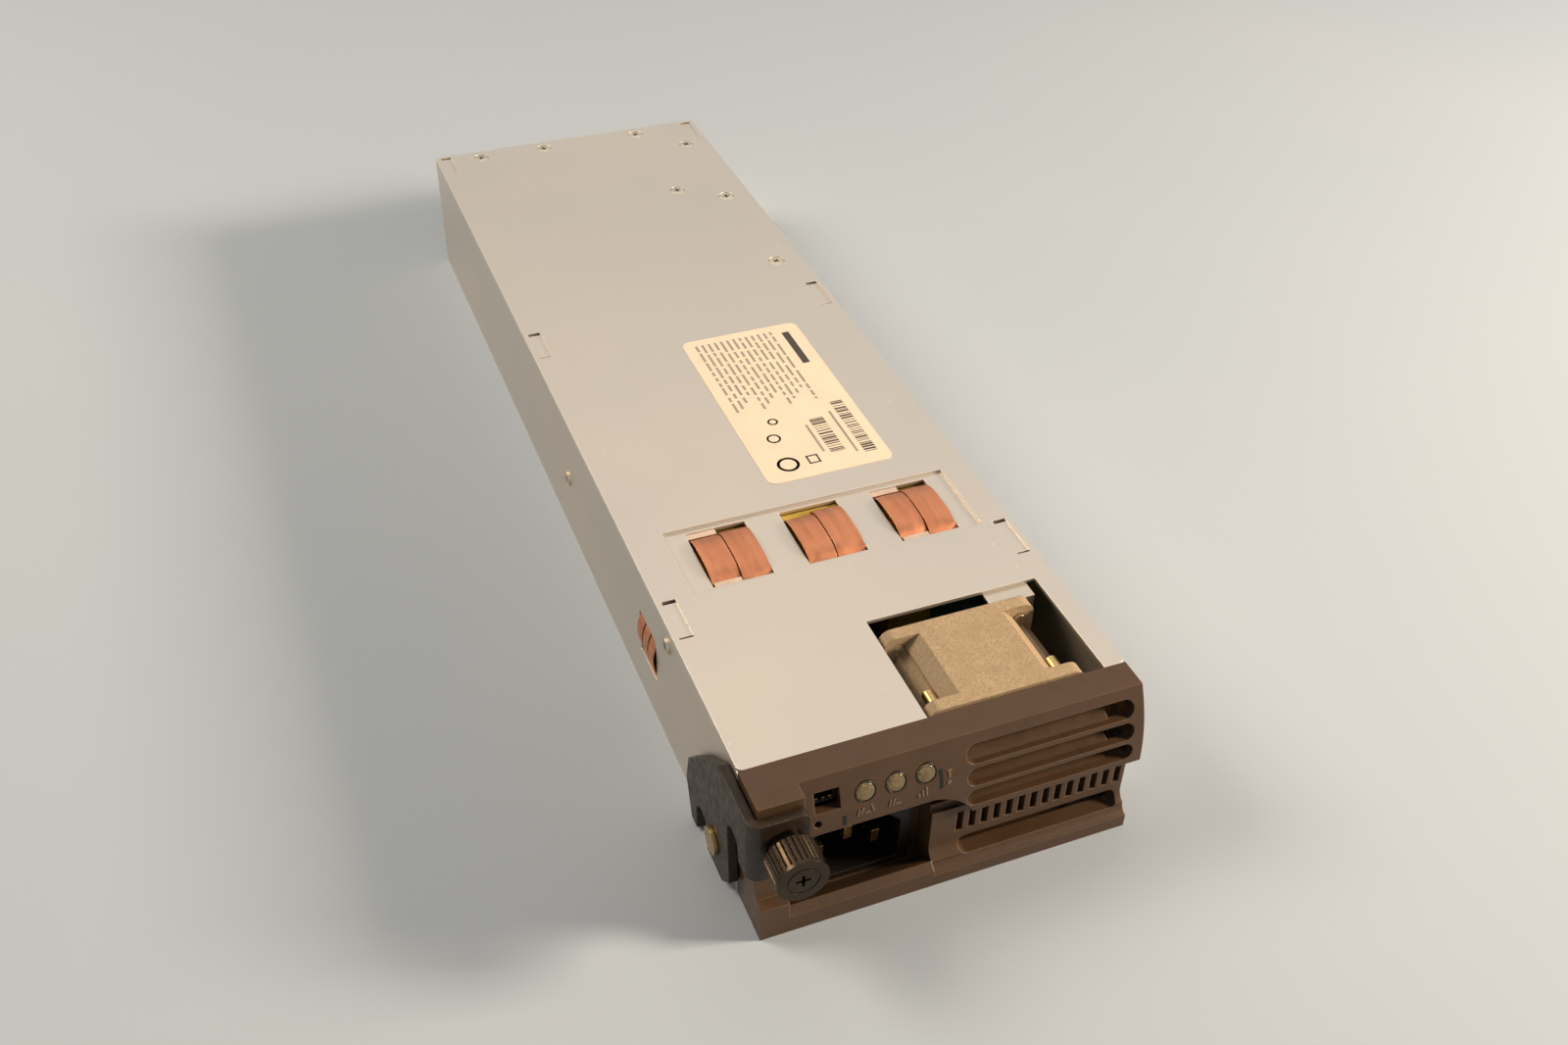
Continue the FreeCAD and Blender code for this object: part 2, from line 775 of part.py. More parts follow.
def side_clip(label, side):
    """The same clip in a side wall, bowing outward; side is -1 on the left and 1 on the right."""
    body = new_body(label)
    corners = []
    for corner in clip_outline(SIDE_LOW, SIDE_HIGH, "case_width / 2 - steel", "steel + clip_proud"):
        arc = (corner[2], -side * corner[3]) if len(corner) > 2 else ()
        corners.append((f"{side} * ({corner[1]})", corner[0]) + arc)
    outline = new_sketch(body, "XZ_Plane", f"-({FRONT} + side_window_from_front + play)")
    draw(outline, corners)
    pad(body, outline, "side_window_length - 2 * play", reverse=True)
    slits = new_sketch(body, "YZ_Plane")
    for share in (1, 2):
        middle = f"({FRONT} + side_window_from_front + side_window_length * {share} / 3)"
        draw_box(slits, f"{middle} - clip_slit / 2", f"{SIDE_LOW} + clip_slit * 2",
                 f"{middle} + clip_slit / 2", f"{SIDE_HIGH} - clip_slit * 2")
    pocket(body, slits, "case_width", reverse=side > 0)


def insulator_sheet():
    """The amber film under the pan and the clips' feet."""
    low = (f"{LEFT} + pan_from_left", f"{FRONT} + pan_from_front - insulator_margin",
           f"{PAN_UNDER} - clip_gauge - insulator_gauge")
    high = (f"{LEFT} + pan_from_left + pan_width",
            f"{FRONT} + pan_from_front + pan_length + insulator_margin", f"{PAN_UNDER} - clip_gauge")
    keep(block(low, high), "insulator_sheet")


def rating_label():
    body = new_body("rating_label")
    face = new_sketch(body, "XY_Plane", "case_height")
    draw_box(face, f"{LEFT} + label_from_left", f"{FRONT} + label_from_front",
             f"{LEFT} + label_from_left + label_width", f"{FRONT} + label_from_front + label_length")
    pad(body, face, "label_gauge")
    round_edges(body, "label_corner", lambda edge: runs_along(edge, Z))


def cover_screws():
    screws = []
    for across, back in REAR_SCREWS + SINK_SCREWS:
        head = rod("z", (across, back), "case_height - cover_head_sink", "case_height",
                   "cover_head_radius - play / 2")
        shank = rod("z", (across, back), "case_height - cover_shank_length", "case_height - cover_head_sink",
                    "cover_shank_radius - thread_play")
        screws.append(fused([head, shank]))
    keep(group(screws), "cover_screws")


def side_screws():
    screws = []
    for back, up in SIDE_SCREWS:
        for wall, way in ((RIGHT, 1), (LEFT, -1)):
            outer = f"{wall} + ({way} * side_head_height)"
            inner = f"{wall} - ({way} * side_shank_length)"
            ends = (wall, outer) if way > 0 else (outer, wall)
            shank_ends = (inner, wall) if way > 0 else (wall, inner)
            screws.append(fused([rod("x", (back, up), *ends, "side_head_radius"),
                                 rod("x", (back, up), *shank_ends, "side_shank_radius - thread_play")]))
    keep(group(screws), "side_screws")


# ---- bezel --------------------------------------------------------------------------------------

TOP = "case_height"
SHELL_END = "(case_height - shell_drop)"
SHELL_RADIUS = "((shell_drop ^ 2 + (shell_depth - bezel_strip) ^ 2) / (2 * (shell_depth - bezel_strip)))"
BAY_RIGHT = f"({LEFT} + bay_right)"
FAN_MIDDLE = f"({LEFT} + fan_from_left)"
FAN_LEVEL = "(steel + fan_size / 2)"
FAN_FACE = f"({FRONT} + fan_setback)"
INLET_FACE = f"({FRONT} - inlet_setback)"
INLET_MIDDLE = f"({LEFT} + inlet_middle)"
SCREW = (f"{LEFT} + screw_from_left", "screw_level")
BLOCK_FACE = f"({FRONT} - block_depth)"
PLATE_FRONT = f"({FRONT} - bezel_wall)"
FAN_HOLES = [(f"{FAN_MIDDLE} + {across} * fan_hole_pitch / 2", f"{FAN_LEVEL} + {up} * fan_hole_pitch / 2")
             for across in ("(-1)", "1") for up in ("(-1)", "1")]
LENSES = [f"({LEFT} + lens_first + {number} * lens_pitch)" for number in range(3)]


def shell_outline():
    """The bowed upper shell, cut across: the top strip and the front wall below it."""
    inner_radius = f"({SHELL_RADIUS} - bezel_wall)"
    return [
        (FRONT, TOP),
        (f"{FRONT} - bezel_strip", TOP, SHELL_RADIUS, 1),
        (f"{FRONT} - shell_depth", SHELL_END),
        (f"{FRONT} - shell_depth + bezel_wall", SHELL_END, inner_radius, -1),
        (f"{FRONT} - bezel_strip + bezel_wall * 0.7", f"{TOP} - bezel_wall"),
        (FRONT, f"{TOP} - bezel_wall"),
    ]


def end_outline():
    """The same shell filled in, for its two end walls."""
    return [
        (FRONT, TOP),
        (f"{FRONT} - bezel_strip", TOP, SHELL_RADIUS, 1),
        (f"{FRONT} - shell_depth", SHELL_END),
        (FRONT, SHELL_END),
    ]


def panel_outline():
    """The lower right panel: set back under the shell, then flaring in two ledges to the foot."""
    flare = "(lip_depth - panel_depth)"
    return [
        (f"{FRONT} - shell_depth + bezel_wall / 2", f"{SHELL_END} + bezel_wall"),
        (f"{FRONT} - shell_depth + bezel_wall / 2", SHELL_END),
        (f"{FRONT} - panel_depth", SHELL_END),
        (f"{FRONT} - panel_depth", "flare_rise", f"{flare} * 0.8", -1),
        (f"{FRONT} - panel_depth - {flare} / 2", "flare_rise * 0.7"),
        (f"{FRONT} - panel_depth - {flare} / 2", "flare_rise * 0.6", f"{flare} * 0.8", -1),
        (f"{FRONT} - lip_depth", "lip_height"),
        (f"{FRONT} - lip_depth", "0"),
        (FRONT, "0"),
        (FRONT, "bezel_wall"),
        (f"{FRONT} - panel_depth + bezel_wall", "bezel_wall"),
        (f"{FRONT} - panel_depth + bezel_wall", f"{SHELL_END} + bezel_wall"),
    ]


def sill_outline():
    """The sill under the inlet: a shelf that rises to a rolled lip."""
    return [
        (FRONT, "0"),
        (f"{FRONT} - lip_depth", "0"),
        (f"{FRONT} - lip_depth", "lip_height + 1.5"),
        (f"{FRONT} - lip_depth + 2", "lip_height + 3"),
        (f"{FRONT} - lip_depth + 3.5", "lip_height + 2"),
        (f"{INLET_FACE} - 0.5", "bezel_wall"),
        (FRONT, "bezel_wall"),
    ]


def block_outline():
    return [
        (FRONT, TOP),
        (BLOCK_FACE, TOP),
        (BLOCK_FACE, f"{SHELL_END} + 1"),
        (f"{FRONT} - waist_depth", SHELL_END),
        (FRONT, SHELL_END),
    ]


def foot_outline():
    return [
        (FRONT, SHELL_END),
        (f"{FRONT} - waist_depth", SHELL_END),
        (f"{FRONT} - block_depth", "foot_height"),
        (f"{FRONT} - lip_depth", "foot_height - 1"),
        (f"{FRONT} - lip_depth", "0"),
        (FRONT, "0"),
    ]


def slab(body, outline, left, width):
    """A stretch of the bezel with the same cross-section from left to left + width."""
    section = new_sketch(body, "YZ_Plane", left)
    draw(section, outline)
    pad(body, section, width)


def bezel_walls(body):
    slab(body, shell_outline(), f"{LEFT} + block_width", "case_width - block_width")
    slab(body, end_outline(), f"{RIGHT} - bezel_wall", "bezel_wall")
    slab(body, block_outline(), LEFT, "block_width")
    slab(body, foot_outline(), LEFT, "foot_width")
    slab(body, sill_outline(), f"{LEFT} + foot_width", "bay_right - foot_width")
    panel_width = "(case_width - bay_right - panel_step_in)"
    slab(body, panel_outline(), BAY_RIGHT, panel_width)
    wall = [(FRONT, "0"), (f"{FRONT} - panel_depth", "0"),
            (f"{FRONT} - panel_depth", f"{SHELL_END} + bezel_wall"), (FRONT, f"{SHELL_END} + bezel_wall")]
    slab(body, wall, BAY_RIGHT, "bezel_wall")
    slab(body, wall, f"{BAY_RIGHT} + {panel_width} - bezel_wall", "bezel_wall")


def bezel_frames(body):
    """Inside: the fan's plate, the inlet's frame with its ceiling, and the tongues that enter the case."""
    plate = new_sketch(body, "XZ_Plane", f"-{PLATE_FRONT}")
    draw_box(plate, f"{FAN_MIDDLE} - fan_size / 2", "bezel_wall / 2",
             f"{FAN_MIDDLE} + fan_size / 2", "case_height - steel")
    pad(body, plate, "bezel_wall + fan_setback", reverse=True)
    duct = new_sketch(body, "XZ_Plane", f"-{FAN_FACE}")
    draw_circle(duct, FAN_MIDDLE, FAN_LEVEL, "fan_bore")
    for across, up in FAN_HOLES:
        draw_circle(duct, across, up, "fan_screw_radius")
    pocket(body, duct, "bezel_wall + fan_setback", reverse=True)
    seats = new_sketch(body, "XZ_Plane", f"-{PLATE_FRONT}")
    for across, up in FAN_HOLES:
        draw_circle(seats, across, up, "fan_screw_head + play")
    pocket(body, seats, "fan_screw_head_height + play", reverse=True)
    frame = new_sketch(body, "XZ_Plane", f"-({INLET_FACE} + inlet_flange_gauge)")
    draw_box(frame, f"{LEFT} + foot_width - 1", "0",
             f"{BAY_RIGHT} + 1", f"{TOP} - bay_drop + bezel_wall")
    pad(body, frame, "bezel_wall", reverse=True)
    ceiling = new_sketch(body, "XY_Plane", f"{TOP} - bay_drop")
    draw_box(ceiling, f"{LEFT} + foot_width - 1", f"{FRONT} - shell_depth + bezel_wall",
             f"{BAY_RIGHT} + bezel_wall", f"{INLET_FACE} + inlet_flange_gauge + bezel_wall")
    pad(body, ceiling, "bezel_wall * 0.75")
    hole = new_sketch(body, "XZ_Plane", f"-({INLET_FACE} + inlet_flange_gauge + bezel_wall)")
    half_width = "(inlet_body_width / 2 + play)"
    half_height = "(inlet_body_height / 2 + play)"
    draw_box(hole, f"{INLET_MIDDLE} - {half_width}", f"inlet_level - {half_height}",
             f"{INLET_MIDDLE} + {half_width}", f"inlet_level + {half_height}")
    pocket(body, hole, "bezel_wall + play", reverse=True)
    for left in (f"{WALL_LEFT} + play", f"{WALL_RIGHT} - play - bezel_wall"):
        tongue = new_sketch(body, "XZ_Plane", f"-({FRONT} + tongue_length)")
        draw_box(tongue, left, "steel + play", f"{left} + bezel_wall", f"{TOP} - steel - play")
        pad(body, tongue, "tongue_length + bezel_wall")


def bezel_openings(body):
    """The bay arch, louvres, grille, indicator holes and the thumbscrew's hole, cut through the front."""
    reach = "shell_depth * 2"
    bay = new_sketch(body, "XZ_Plane", f"-({FRONT} - waist_depth)")
    draw(bay, [
        (f"{LEFT} + block_width", SHELL_END),
        (f"{BAY_RIGHT} + bay_curve", SHELL_END, "bay_curve * 1.4", 1),
        (f"{BAY_RIGHT} - 1", f"{TOP} - bay_drop"),
        (f"{LEFT} + block_width", f"{TOP} - bay_drop"),
    ])
    pocket(body, bay, "shell_depth", reverse=True)
    louvre = new_sketch(body, "XZ_Plane", f"-({FRONT} - bezel_wall)")
    draw_slot(louvre, f"{LEFT} + louvre_left", f"{LEFT} + louvre_right", f"{TOP} - louvre_first_drop",
              "louvre_height")
    first = pocket(body, louvre, reach, reverse=True)
    rows = along(body, [first], "Z_Axis", "louvre_pitch", "louvre_count")
    rows.Reversed = True
    low_slot = new_sketch(body, "XZ_Plane", f"-({FRONT} - panel_depth / 2)")
    draw_slot(low_slot, f"{LEFT} + louvre_left", f"{LEFT} + louvre_right - 1", "low_slot_level",
              "low_slot_height")
    pocket(body, low_slot, reach, reverse=True)
    bar = new_sketch(body, "XZ_Plane", f"-({FRONT} - panel_depth / 2)")
    grille_left = f"({LEFT} + louvre_left - grille_slot / 2)"
    draw_box(bar, grille_left, "grille_level - grille_height / 2", f"{grille_left} + grille_slot",
             "grille_level + grille_height / 2")
    cut_bar = pocket(body, bar, reach, reverse=True)
    along(body, [cut_bar], "X_Axis", "grille_pitch", "grille_count")
    lenses = new_sketch(body, "XZ_Plane", f"-({FRONT} - bezel_wall)")
    for across in LENSES:
        draw_circle(lenses, across, "lens_level", "lens_radius + play / 2")
    header_left = f"({LEFT} + header_left)"
    draw_box(lenses, header_left, "header_level - header_height / 2", f"{header_left} + header_width",
             "header_level + header_height / 2")
    draw_circle(lenses, f"{LEFT} + pinhole_left", "pinhole_level", "pinhole_radius")
    pocket(body, lenses, reach, reverse=True)
    insert = new_sketch(body, "XZ_Plane", f"-{BLOCK_FACE}")
    draw_circle(insert, *SCREW, "insert_radius")
    pocket(body, insert, "insert_length", reverse=False)


def bezel_vanes(body):
    """Behind each louvre a sloping vane hides the fan from above; it stops short of the right end."""
    for number in range(int(value("louvre_count"))):
        level = f"({TOP} - louvre_first_drop - {number} * louvre_pitch - louvre_height / 2 - vane_root)"
        depth = f"(shell_depth - ({level} - {SHELL_END}) ^ 2 / (2 * {SHELL_RADIUS}))"
        front = f"({FRONT} - {depth} + bezel_wall / 2)"
        back = f"({PLATE_FRONT} - fan_screw_head_height - play * 2)"
        slab(body, [
            (front, level),
            (back, f"{level} + vane_rise"),
            (back, f"{level} + vane_rise - vane_gauge"),
            (front, f"{level} - vane_gauge"),
        ], f"{LEFT} + louvre_left - 1", "louvre_right - louvre_left - vane_gap")


def front_bezel():
    body = new_body("front_bezel")
    bezel_walls(body)
    bezel_frames(body)
    bezel_openings(body)
    bezel_vanes(body)


# ---- indicators and service connector -------------------------------------------------------------

BOARD_FACE = f"({FRONT} - indicator_setback)"


def lens_depth():
    """How far the shell's face stands out at the lenses' level."""
    return f"(shell_depth - (lens_level - {SHELL_END}) ^ 2 / (2 * {SHELL_RADIUS}))"


def indicator_lens(number):
    """A clear light pipe: a domed button in the shell with a thinner stem back to the board."""
    face = f"({FRONT} - {lens_depth()} - lens_proud)"
    across = (LENSES[number], "lens_level")
    button = rod("y", across, face, f"{face} + bezel_wall * 2", "lens_radius")
    stem = rod("y", across, f"{face} + bezel_wall", f"{BOARD_FACE} - light_height", "lens_radius * 0.7")
    keep(fused([button, stem]), f"indicator_lens_{number + 1}")


def indicator_board():
    low = (f"{LEFT} + block_width + 1", BOARD_FACE, f"{TOP} - bay_drop + bezel_wall")
    high = (f"{FAN_MIDDLE} - fan_size / 2 - play", f"{BOARD_FACE} + indicator_gauge",
            f"{TOP} - bezel_wall - play")
    keep(block(low, high), "indicator_board")
    lights = []
    for across in LENSES:
        half = "light_width / 2"
        lights.append(block((f"{across} - {half}", f"{BOARD_FACE} - light_height", f"lens_level - {half}"),
                            (f"{across} + {half}", BOARD_FACE, f"lens_level + {half}")))
    keep(group(lights), "indicator_lights")


def service_header():
    """The small edge socket behind the square window, with its row of gilt springs."""
    left = f"({LEFT} + header_left + play)"
    right = f"({LEFT} + header_left + header_width - play)"
    low = "(header_level - header_height / 2 + play)"
    high = "(header_level + header_height / 2 - play)"
    face = f"({BOARD_FACE} - header_depth)"
    shell = block((left, face, low), (right, BOARD_FACE, high))
    mouth = block((f"{left} + header_wall", face, f"{low} + header_wall"),
                  (f"{right} - header_wall", f"{BOARD_FACE} - header_wall", f"{high} - header_wall"))
    keep(cut(shell, [mouth]), "service_header")
    springs = []
    middle = f"(({left} + {right}) / 2)"
    for number in (-1, 0, 1):
        across = f"({middle} + {number} * contact_pitch)"
        half = "contact_width / 2"
        springs.append(block((f"{across} - {half}", f"{face} + header_wall / 2", f"{low} + header_wall"),
                             (f"{across} + {half}", f"{BOARD_FACE} - header_wall",
                              f"{low} + header_wall * 2")))
    keep(group(springs), "service_contacts")


def lock_insert():
    """The brass bush in the bezel's corner block that takes the thumbscrew's tip."""
    keep(tube("y", SCREW, BLOCK_FACE, f"{BLOCK_FACE} + insert_length", "insert_radius",
              "screw_radius + screw_clearance"), "lock_insert")


# ---- mains inlet ----------------------------------------------------------------------------------

def bevelled(width, height, bevel):
    """The inlet's outline: a rectangle whose two top corners are bevelled."""
    left = f"{INLET_MIDDLE} - ({width}) / 2"
    right = f"{INLET_MIDDLE} + ({width}) / 2"
    low = f"inlet_level - ({height}) / 2"
    high = f"inlet_level + ({height}) / 2"
    return [(left, low), (right, low), (right, f"{high} - {bevel}"), (f"{right} - {bevel}", high),
            (f"{left} + {bevel}", high), (left, f"{high} - {bevel}")]


def inlet_housing():
    """The C14 inlet: a flange on the bezel's frame, a body behind it and the bevelled cavity."""
    body = new_body("inlet_housing")
    flange = new_sketch(body, "XZ_Plane", f"-{INLET_FACE}")
    draw_box(flange, f"{INLET_MIDDLE} - inlet_flange_width / 2", "inlet_level - inlet_flange_height / 2",
             f"{INLET_MIDDLE} + inlet_flange_width / 2", "inlet_level + inlet_flange_height / 2")
    pad(body, flange, "inlet_flange_gauge", reverse=True)
    shell = new_sketch(body, "XZ_Plane", f"-{INLET_FACE}")
    draw(shell, bevelled("inlet_body_width", "inlet_body_height", "cavity_bevel"))
    pad(body, shell, "inlet_body_length", reverse=True)
    cavity = new_sketch(body, "XZ_Plane", f"-{INLET_FACE}")
    draw(cavity, bevelled("cavity_width", "cavity_height", "cavity_bevel"))
    pocket(body, cavity, "cavity_depth")


def inlet_pins():
    """Line, earth and neutral blades, each with a tail behind the housing."""
    pins = []
    back = f"({INLET_FACE} + cavity_depth)"
    rear = f"({INLET_FACE} + inlet_body_length)"
    for across, up in (("(-pin_pitch)", "(-pin_offset)"), ("0", "pin_offset"),
                       ("pin_pitch", "(-pin_offset)")):
        middle = f"({INLET_MIDDLE} + {across})"
        level = f"(inlet_level + {up})"
        blade = block((f"{middle} - pin_width / 2", f"{back} - pin_length", f"{level} - pin_height / 2"),
                      (f"{middle} + pin_width / 2", back, f"{level} + pin_height / 2"))
        tail = block((f"{middle} - pin_width / 4", rear, f"{level} - pin_height / 4"),
                     (f"{middle} + pin_width / 4", f"{rear} + pin_tail", f"{level} + pin_height / 4"))
        pins += [blade, tail]
    keep(group(pins), "inlet_pins")


# ---- ejector lever and thumbscrew -------------------------------------------------------------------

LEVER_IN = f"({LEFT} - lever_gap)"
LEVER_OUT = f"({LEVER_IN} - lever_gauge)"
FLANGE_IN = f"({BLOCK_FACE} - flange_gap)"
FLANGE_OUT = f"({FLANGE_IN} - lever_gauge)"


def lever_side():
    """The lever's side outline: crown, sloping shoulder, heel, cam notch, tail and throat."""
    throat_back = f"({FRONT} - tail_tip_front + 1.2)"
    throat_front = f"({throat_back} - throat_width)"
    bend = f"({FLANGE_IN} + lever_bend)"
    return [
        (bend, "flange_top"),
        (f"{FRONT} + crown_back", "flange_top"),
        (f"{FRONT} + shoulder_back", "shoulder_level"),
        (f"{FRONT} + elbow_back", "elbow_level"),
        (f"{FRONT} + heel_back", "heel_level"),
        (f"{FRONT} + toe_back", "toe_level"),
        (f"{FRONT} + notch_back", "toe_level"),
        (f"{FRONT} + notch_back", "notch_rise", "(notch_back - notch_front) / 2 + 0.01", 1),
        (f"{FRONT} + notch_front", "notch_rise"),
        (f"{FRONT} + notch_front", "tail_level"),
        (f"{FRONT} + tail_front", "tail_level"),
        (f"{FRONT} - tail_tip_front", "tail_tip_level"),
        (throat_back, "throat_level", "throat_width / 2 + 0.01", 1),
        (throat_front, "throat_level"),
        (throat_front, "flange_bottom"),
        (bend, "flange_bottom"),
    ]


def lever_bend():
    """The lever's front corner from above: the side turns through its bend into the front flange."""
    return [
        (LEVER_IN, f"{FLANGE_IN} + lever_bend"),
        (LEVER_OUT, f"{FLANGE_IN} + lever_bend"),
        (LEVER_OUT, f"{FLANGE_IN} + lever_bend - lever_gauge", "lever_bend", 1),
        (f"{LEVER_OUT} + lever_bend", FLANGE_OUT),
        (f"{LEFT} + flange_reach", FLANGE_OUT),
        (f"{LEFT} + flange_reach", FLANGE_IN),
        (f"{LEVER_OUT} + lever_bend", FLANGE_IN, "lever_bend - lever_gauge", -1),
        (LEVER_IN, f"{FLANGE_IN} + lever_bend - lever_gauge"),
    ]


def ejector_lever():
    body = new_body("ejector_lever")
    side = new_sketch(body, "YZ_Plane", LEVER_OUT)
    draw(side, lever_side())
    pad(body, side, "lever_gauge")
    corner = new_sketch(body, "XY_Plane", "flange_bottom")
    draw(corner, lever_bend())
    pad(body, corner, "flange_top - flange_bottom")
    pivot = new_sketch(body, "YZ_Plane", LEVER_OUT)
    draw_circle(pivot, *PIVOT, "pivot_radius + pivot_clearance")
    pocket(body, pivot, "lever_gauge", reverse=True)
    seat = new_sketch(body, "XZ_Plane", f"-{FLANGE_OUT}")
    draw_circle(seat, *SCREW, "ferrule_seat_radius")
    pocket(body, seat, "lever_gauge")
    tip = f"({LEFT} + flange_reach)"
    round_edges(body, "flange_corner", lambda edge: runs_along(edge, Y) and is_at(edge.CenterOfMass.x, tip))


def pivot_rivet():
    """The brass shoulder rivet: outer head, shank through the lever, spacing shoulder and inner head."""
    outer = f"({LEVER_OUT} - play)"
    head = rod("x", PIVOT, f"{outer} - pivot_head_height", outer, "pivot_head_radius")
    shank = rod("x", PIVOT, outer, WALL_LEFT, "pivot_radius")
    shoulder = rod("x", PIVOT, f"{LEVER_IN} + play / 2", LEFT, "pivot_head_radius - play")
    tail = rod("x", PIVOT, WALL_LEFT, f"{WALL_LEFT} + pivot_head_height", "pivot_head_radius")
    keep(fused([head, shank, shoulder, tail]), "pivot_rivet")


KNOB_BACK = f"({FLANGE_OUT} - ferrule_shown)"
KNOB_FRONT = f"({KNOB_BACK} - knob_length)"
FERRULE_END = f"({KNOB_BACK} - ferrule_lap)"
RING_FRONT = f"({FERRULE_END} + ferrule_wall)"
RING_BACK = f"({RING_FRONT} + ring_gauge)"


def screw_ferrule():
    """The plated collar pressed into the flange; a chamber inside it keeps the screw's retaining ring."""
    collar = rod("y", SCREW, FERRULE_END, FLANGE_OUT, "ferrule_radius")
    neck = rod("y", SCREW, FLANGE_OUT, FLANGE_IN, "ferrule_seat_radius")
    bore = rod("y", SCREW, FERRULE_END, FLANGE_IN, "screw_radius + screw_clearance")
    chamber = rod("y", SCREW, f"{RING_FRONT} - play", f"{RING_BACK} + screw_travel + play",
                  "ring_radius + play")
    keep(cut(fused([collar, neck]), [bore, chamber]), "screw_ferrule")


def retaining_ring():
    """The split ring that snaps round the screw and stops it falling out of the ferrule."""
    ring = tube("y", SCREW, RING_FRONT, RING_BACK, "ring_radius",
                "screw_radius - ring_groove + screw_clearance")
    gap = block((f"{SCREW[0]} - ring_split / 2", RING_FRONT, SCREW[1]),
                (f"{SCREW[0]} + ring_split / 2", RING_BACK, f"{SCREW[1]} + ring_radius"))
    keep(cut(ring, [gap]), "retaining_ring")


def thumbscrew_knob():
    """The fluted knob, drawn about its own axis: skirt, straight flutes and a smooth front rim."""
    body = new_body("thumbscrew_knob")
    place(body, SCREW[0], KNOB_FRONT, SCREW[1])
    disc = new_sketch(body, "XZ_Plane")
    draw_circle(disc, "0", "0", "knob_radius")
    pad(body, disc, "knob_length", reverse=True)
    skirt = new_sketch(body, "XZ_Plane", "-knob_length")
    draw_circle(skirt, "0", "0", "ferrule_radius + play")
    pocket(body, skirt, "ferrule_lap + screw_travel + play", reverse=True)
    bore = new_sketch(body, "XZ_Plane", "-knob_length")
    draw_circle(bore, "0", "0", "screw_radius")
    pocket(body, bore, "knob_length - knob_face", reverse=True)
    ring = new_sketch(body, "XZ_Plane")
    draw_circle(ring, "0", "0", "knob_radius * 0.64")
    draw_circle(ring, "0", "0", "knob_radius * 0.58")
    pocket(body, ring, "flute_depth / 2")
    recess = new_sketch(body, "XZ_Plane")
    arm = "(recess_slot / 2)"
    reach = "recess_reach"
    draw(recess, [(reach, f"-{arm}"), (reach, arm), (arm, arm), (arm, reach),
                  (f"-{arm}", reach), (f"-{arm}", arm), (f"-{reach}", arm), (f"-{reach}", f"-{arm}"),
                  (f"-{arm}", f"-{arm}"), (f"-{arm}", f"-{reach}"), (arm, f"-{reach}"), (arm, f"-{arm}")])
    pocket(body, recess, "recess_depth")
    flute = new_sketch(body, "XZ_Plane", "-knob_length")
    half = "(knob_radius * 3.1416 / knob_flutes * 0.8)"
    draw(flute, [("0", "knob_radius - flute_depth"), (half, "knob_radius + flute_depth"),
                 (f"-{half}", "knob_radius + flute_depth")])
    groove = pocket(body, flute, "knob_length - knob_rim", reverse=True)
    around(body, [groove], (ring, ["N_Axis"]), "knob_flutes")


def thumbscrew_shank():
    """The screw itself, with a groove for the retaining ring and a pilot tip flush inside the flange."""
    head_end = f"({KNOB_FRONT} + knob_face)"
    tip = f"({FLANGE_IN} - play)"
    shank = rod("y", SCREW, head_end, tip, "screw_radius")
    groove = tube("y", SCREW, f"{RING_FRONT} - thread_play", f"{RING_BACK} + thread_play",
                  "screw_radius * 2", "screw_radius - ring_groove")
    keep(cut(shank, [groove]), "thumbscrew_shank")


# ---- cooling fan ------------------------------------------------------------------------------------

def fan_body(label):
    """A body drawn about the fan's own axis, its local Y = 0 being the fan's front face."""
    body = new_body(label)
    place(body, FAN_MIDDLE, FAN_FACE, FAN_LEVEL)
    return body


def fan_frame():
    """The fan's moulding: two square flanges, an eight-sided barrel, arms, hub plate and bearing tube."""
    body = fan_body("fan_frame")
    half = "(fan_size / 2)"
    flat = "(fan_flat / 2)"
    barrel = new_sketch(body, "XZ_Plane")
    draw(barrel, [(f"-{flat}", f"-{half}"), (flat, f"-{half}"), (half, f"-{flat}"), (half, flat),
                  (flat, half), (f"-{flat}", half), (f"-{half}", flat), (f"-{half}", f"-{flat}")])
    pad(body, barrel, "fan_depth", reverse=True)
    for back in ("0", "-(fan_depth - fan_flange)"):
        flange = new_sketch(body, "XZ_Plane", back)
        draw_box(flange, f"-{half}", f"-{half}", half, half)
        pad(body, flange, "fan_flange", reverse=True)
    round_edges(body, "fan_corner", lambda edge: runs_along(edge, Y) and is_at(edge.Length, "fan_flange")
                and is_at(abs(edge.CenterOfMass.x), half) and is_at(abs(edge.CenterOfMass.z), half))
    bore = new_sketch(body, "XZ_Plane")
    draw_circle(bore, "0", "0", "fan_bore")
    pocket(body, bore, "fan_depth")
    holes = new_sketch(body, "XZ_Plane")
    for across in ("-fan_hole_pitch / 2", "fan_hole_pitch / 2"):
        for up in ("-fan_hole_pitch / 2", "fan_hole_pitch / 2"):
            draw_circle(holes, across, up, "fan_hole_radius")
    pocket(body, holes, "fan_depth")
    plate_front = "-(fan_depth - fan_hub_plate)"
    hub = new_sketch(body, "XZ_Plane", plate_front)
    draw_circle(hub, "0", "0", "hub_radius")
    pad(body, hub, "fan_hub_plate", reverse=True)
    reach = "fan_bore + fan_hub_plate / 4"
    for across, up in ((reach, "fan_arm / 2"), ("fan_arm / 2", reach)):
        arms = new_sketch(body, "XZ_Plane", plate_front)
        draw_box(arms, f"-({across})", f"-({up})", across, up)
        pad(body, arms, "fan_hub_plate", reverse=True)
    tube_front = "-(fan_depth - fan_hub_plate - tube_length)"
    sleeve = new_sketch(body, "XZ_Plane", tube_front)
    draw_circle(sleeve, "0", "0", "tube_radius")
    pad(body, sleeve, "tube_length + fan_hub_plate / 2", reverse=True)
    inner = new_sketch(body, "XZ_Plane", tube_front)
    draw_circle(inner, "0", "0", "tube_bore")
    pocket(body, inner, "tube_length + fan_hub_plate / 2")


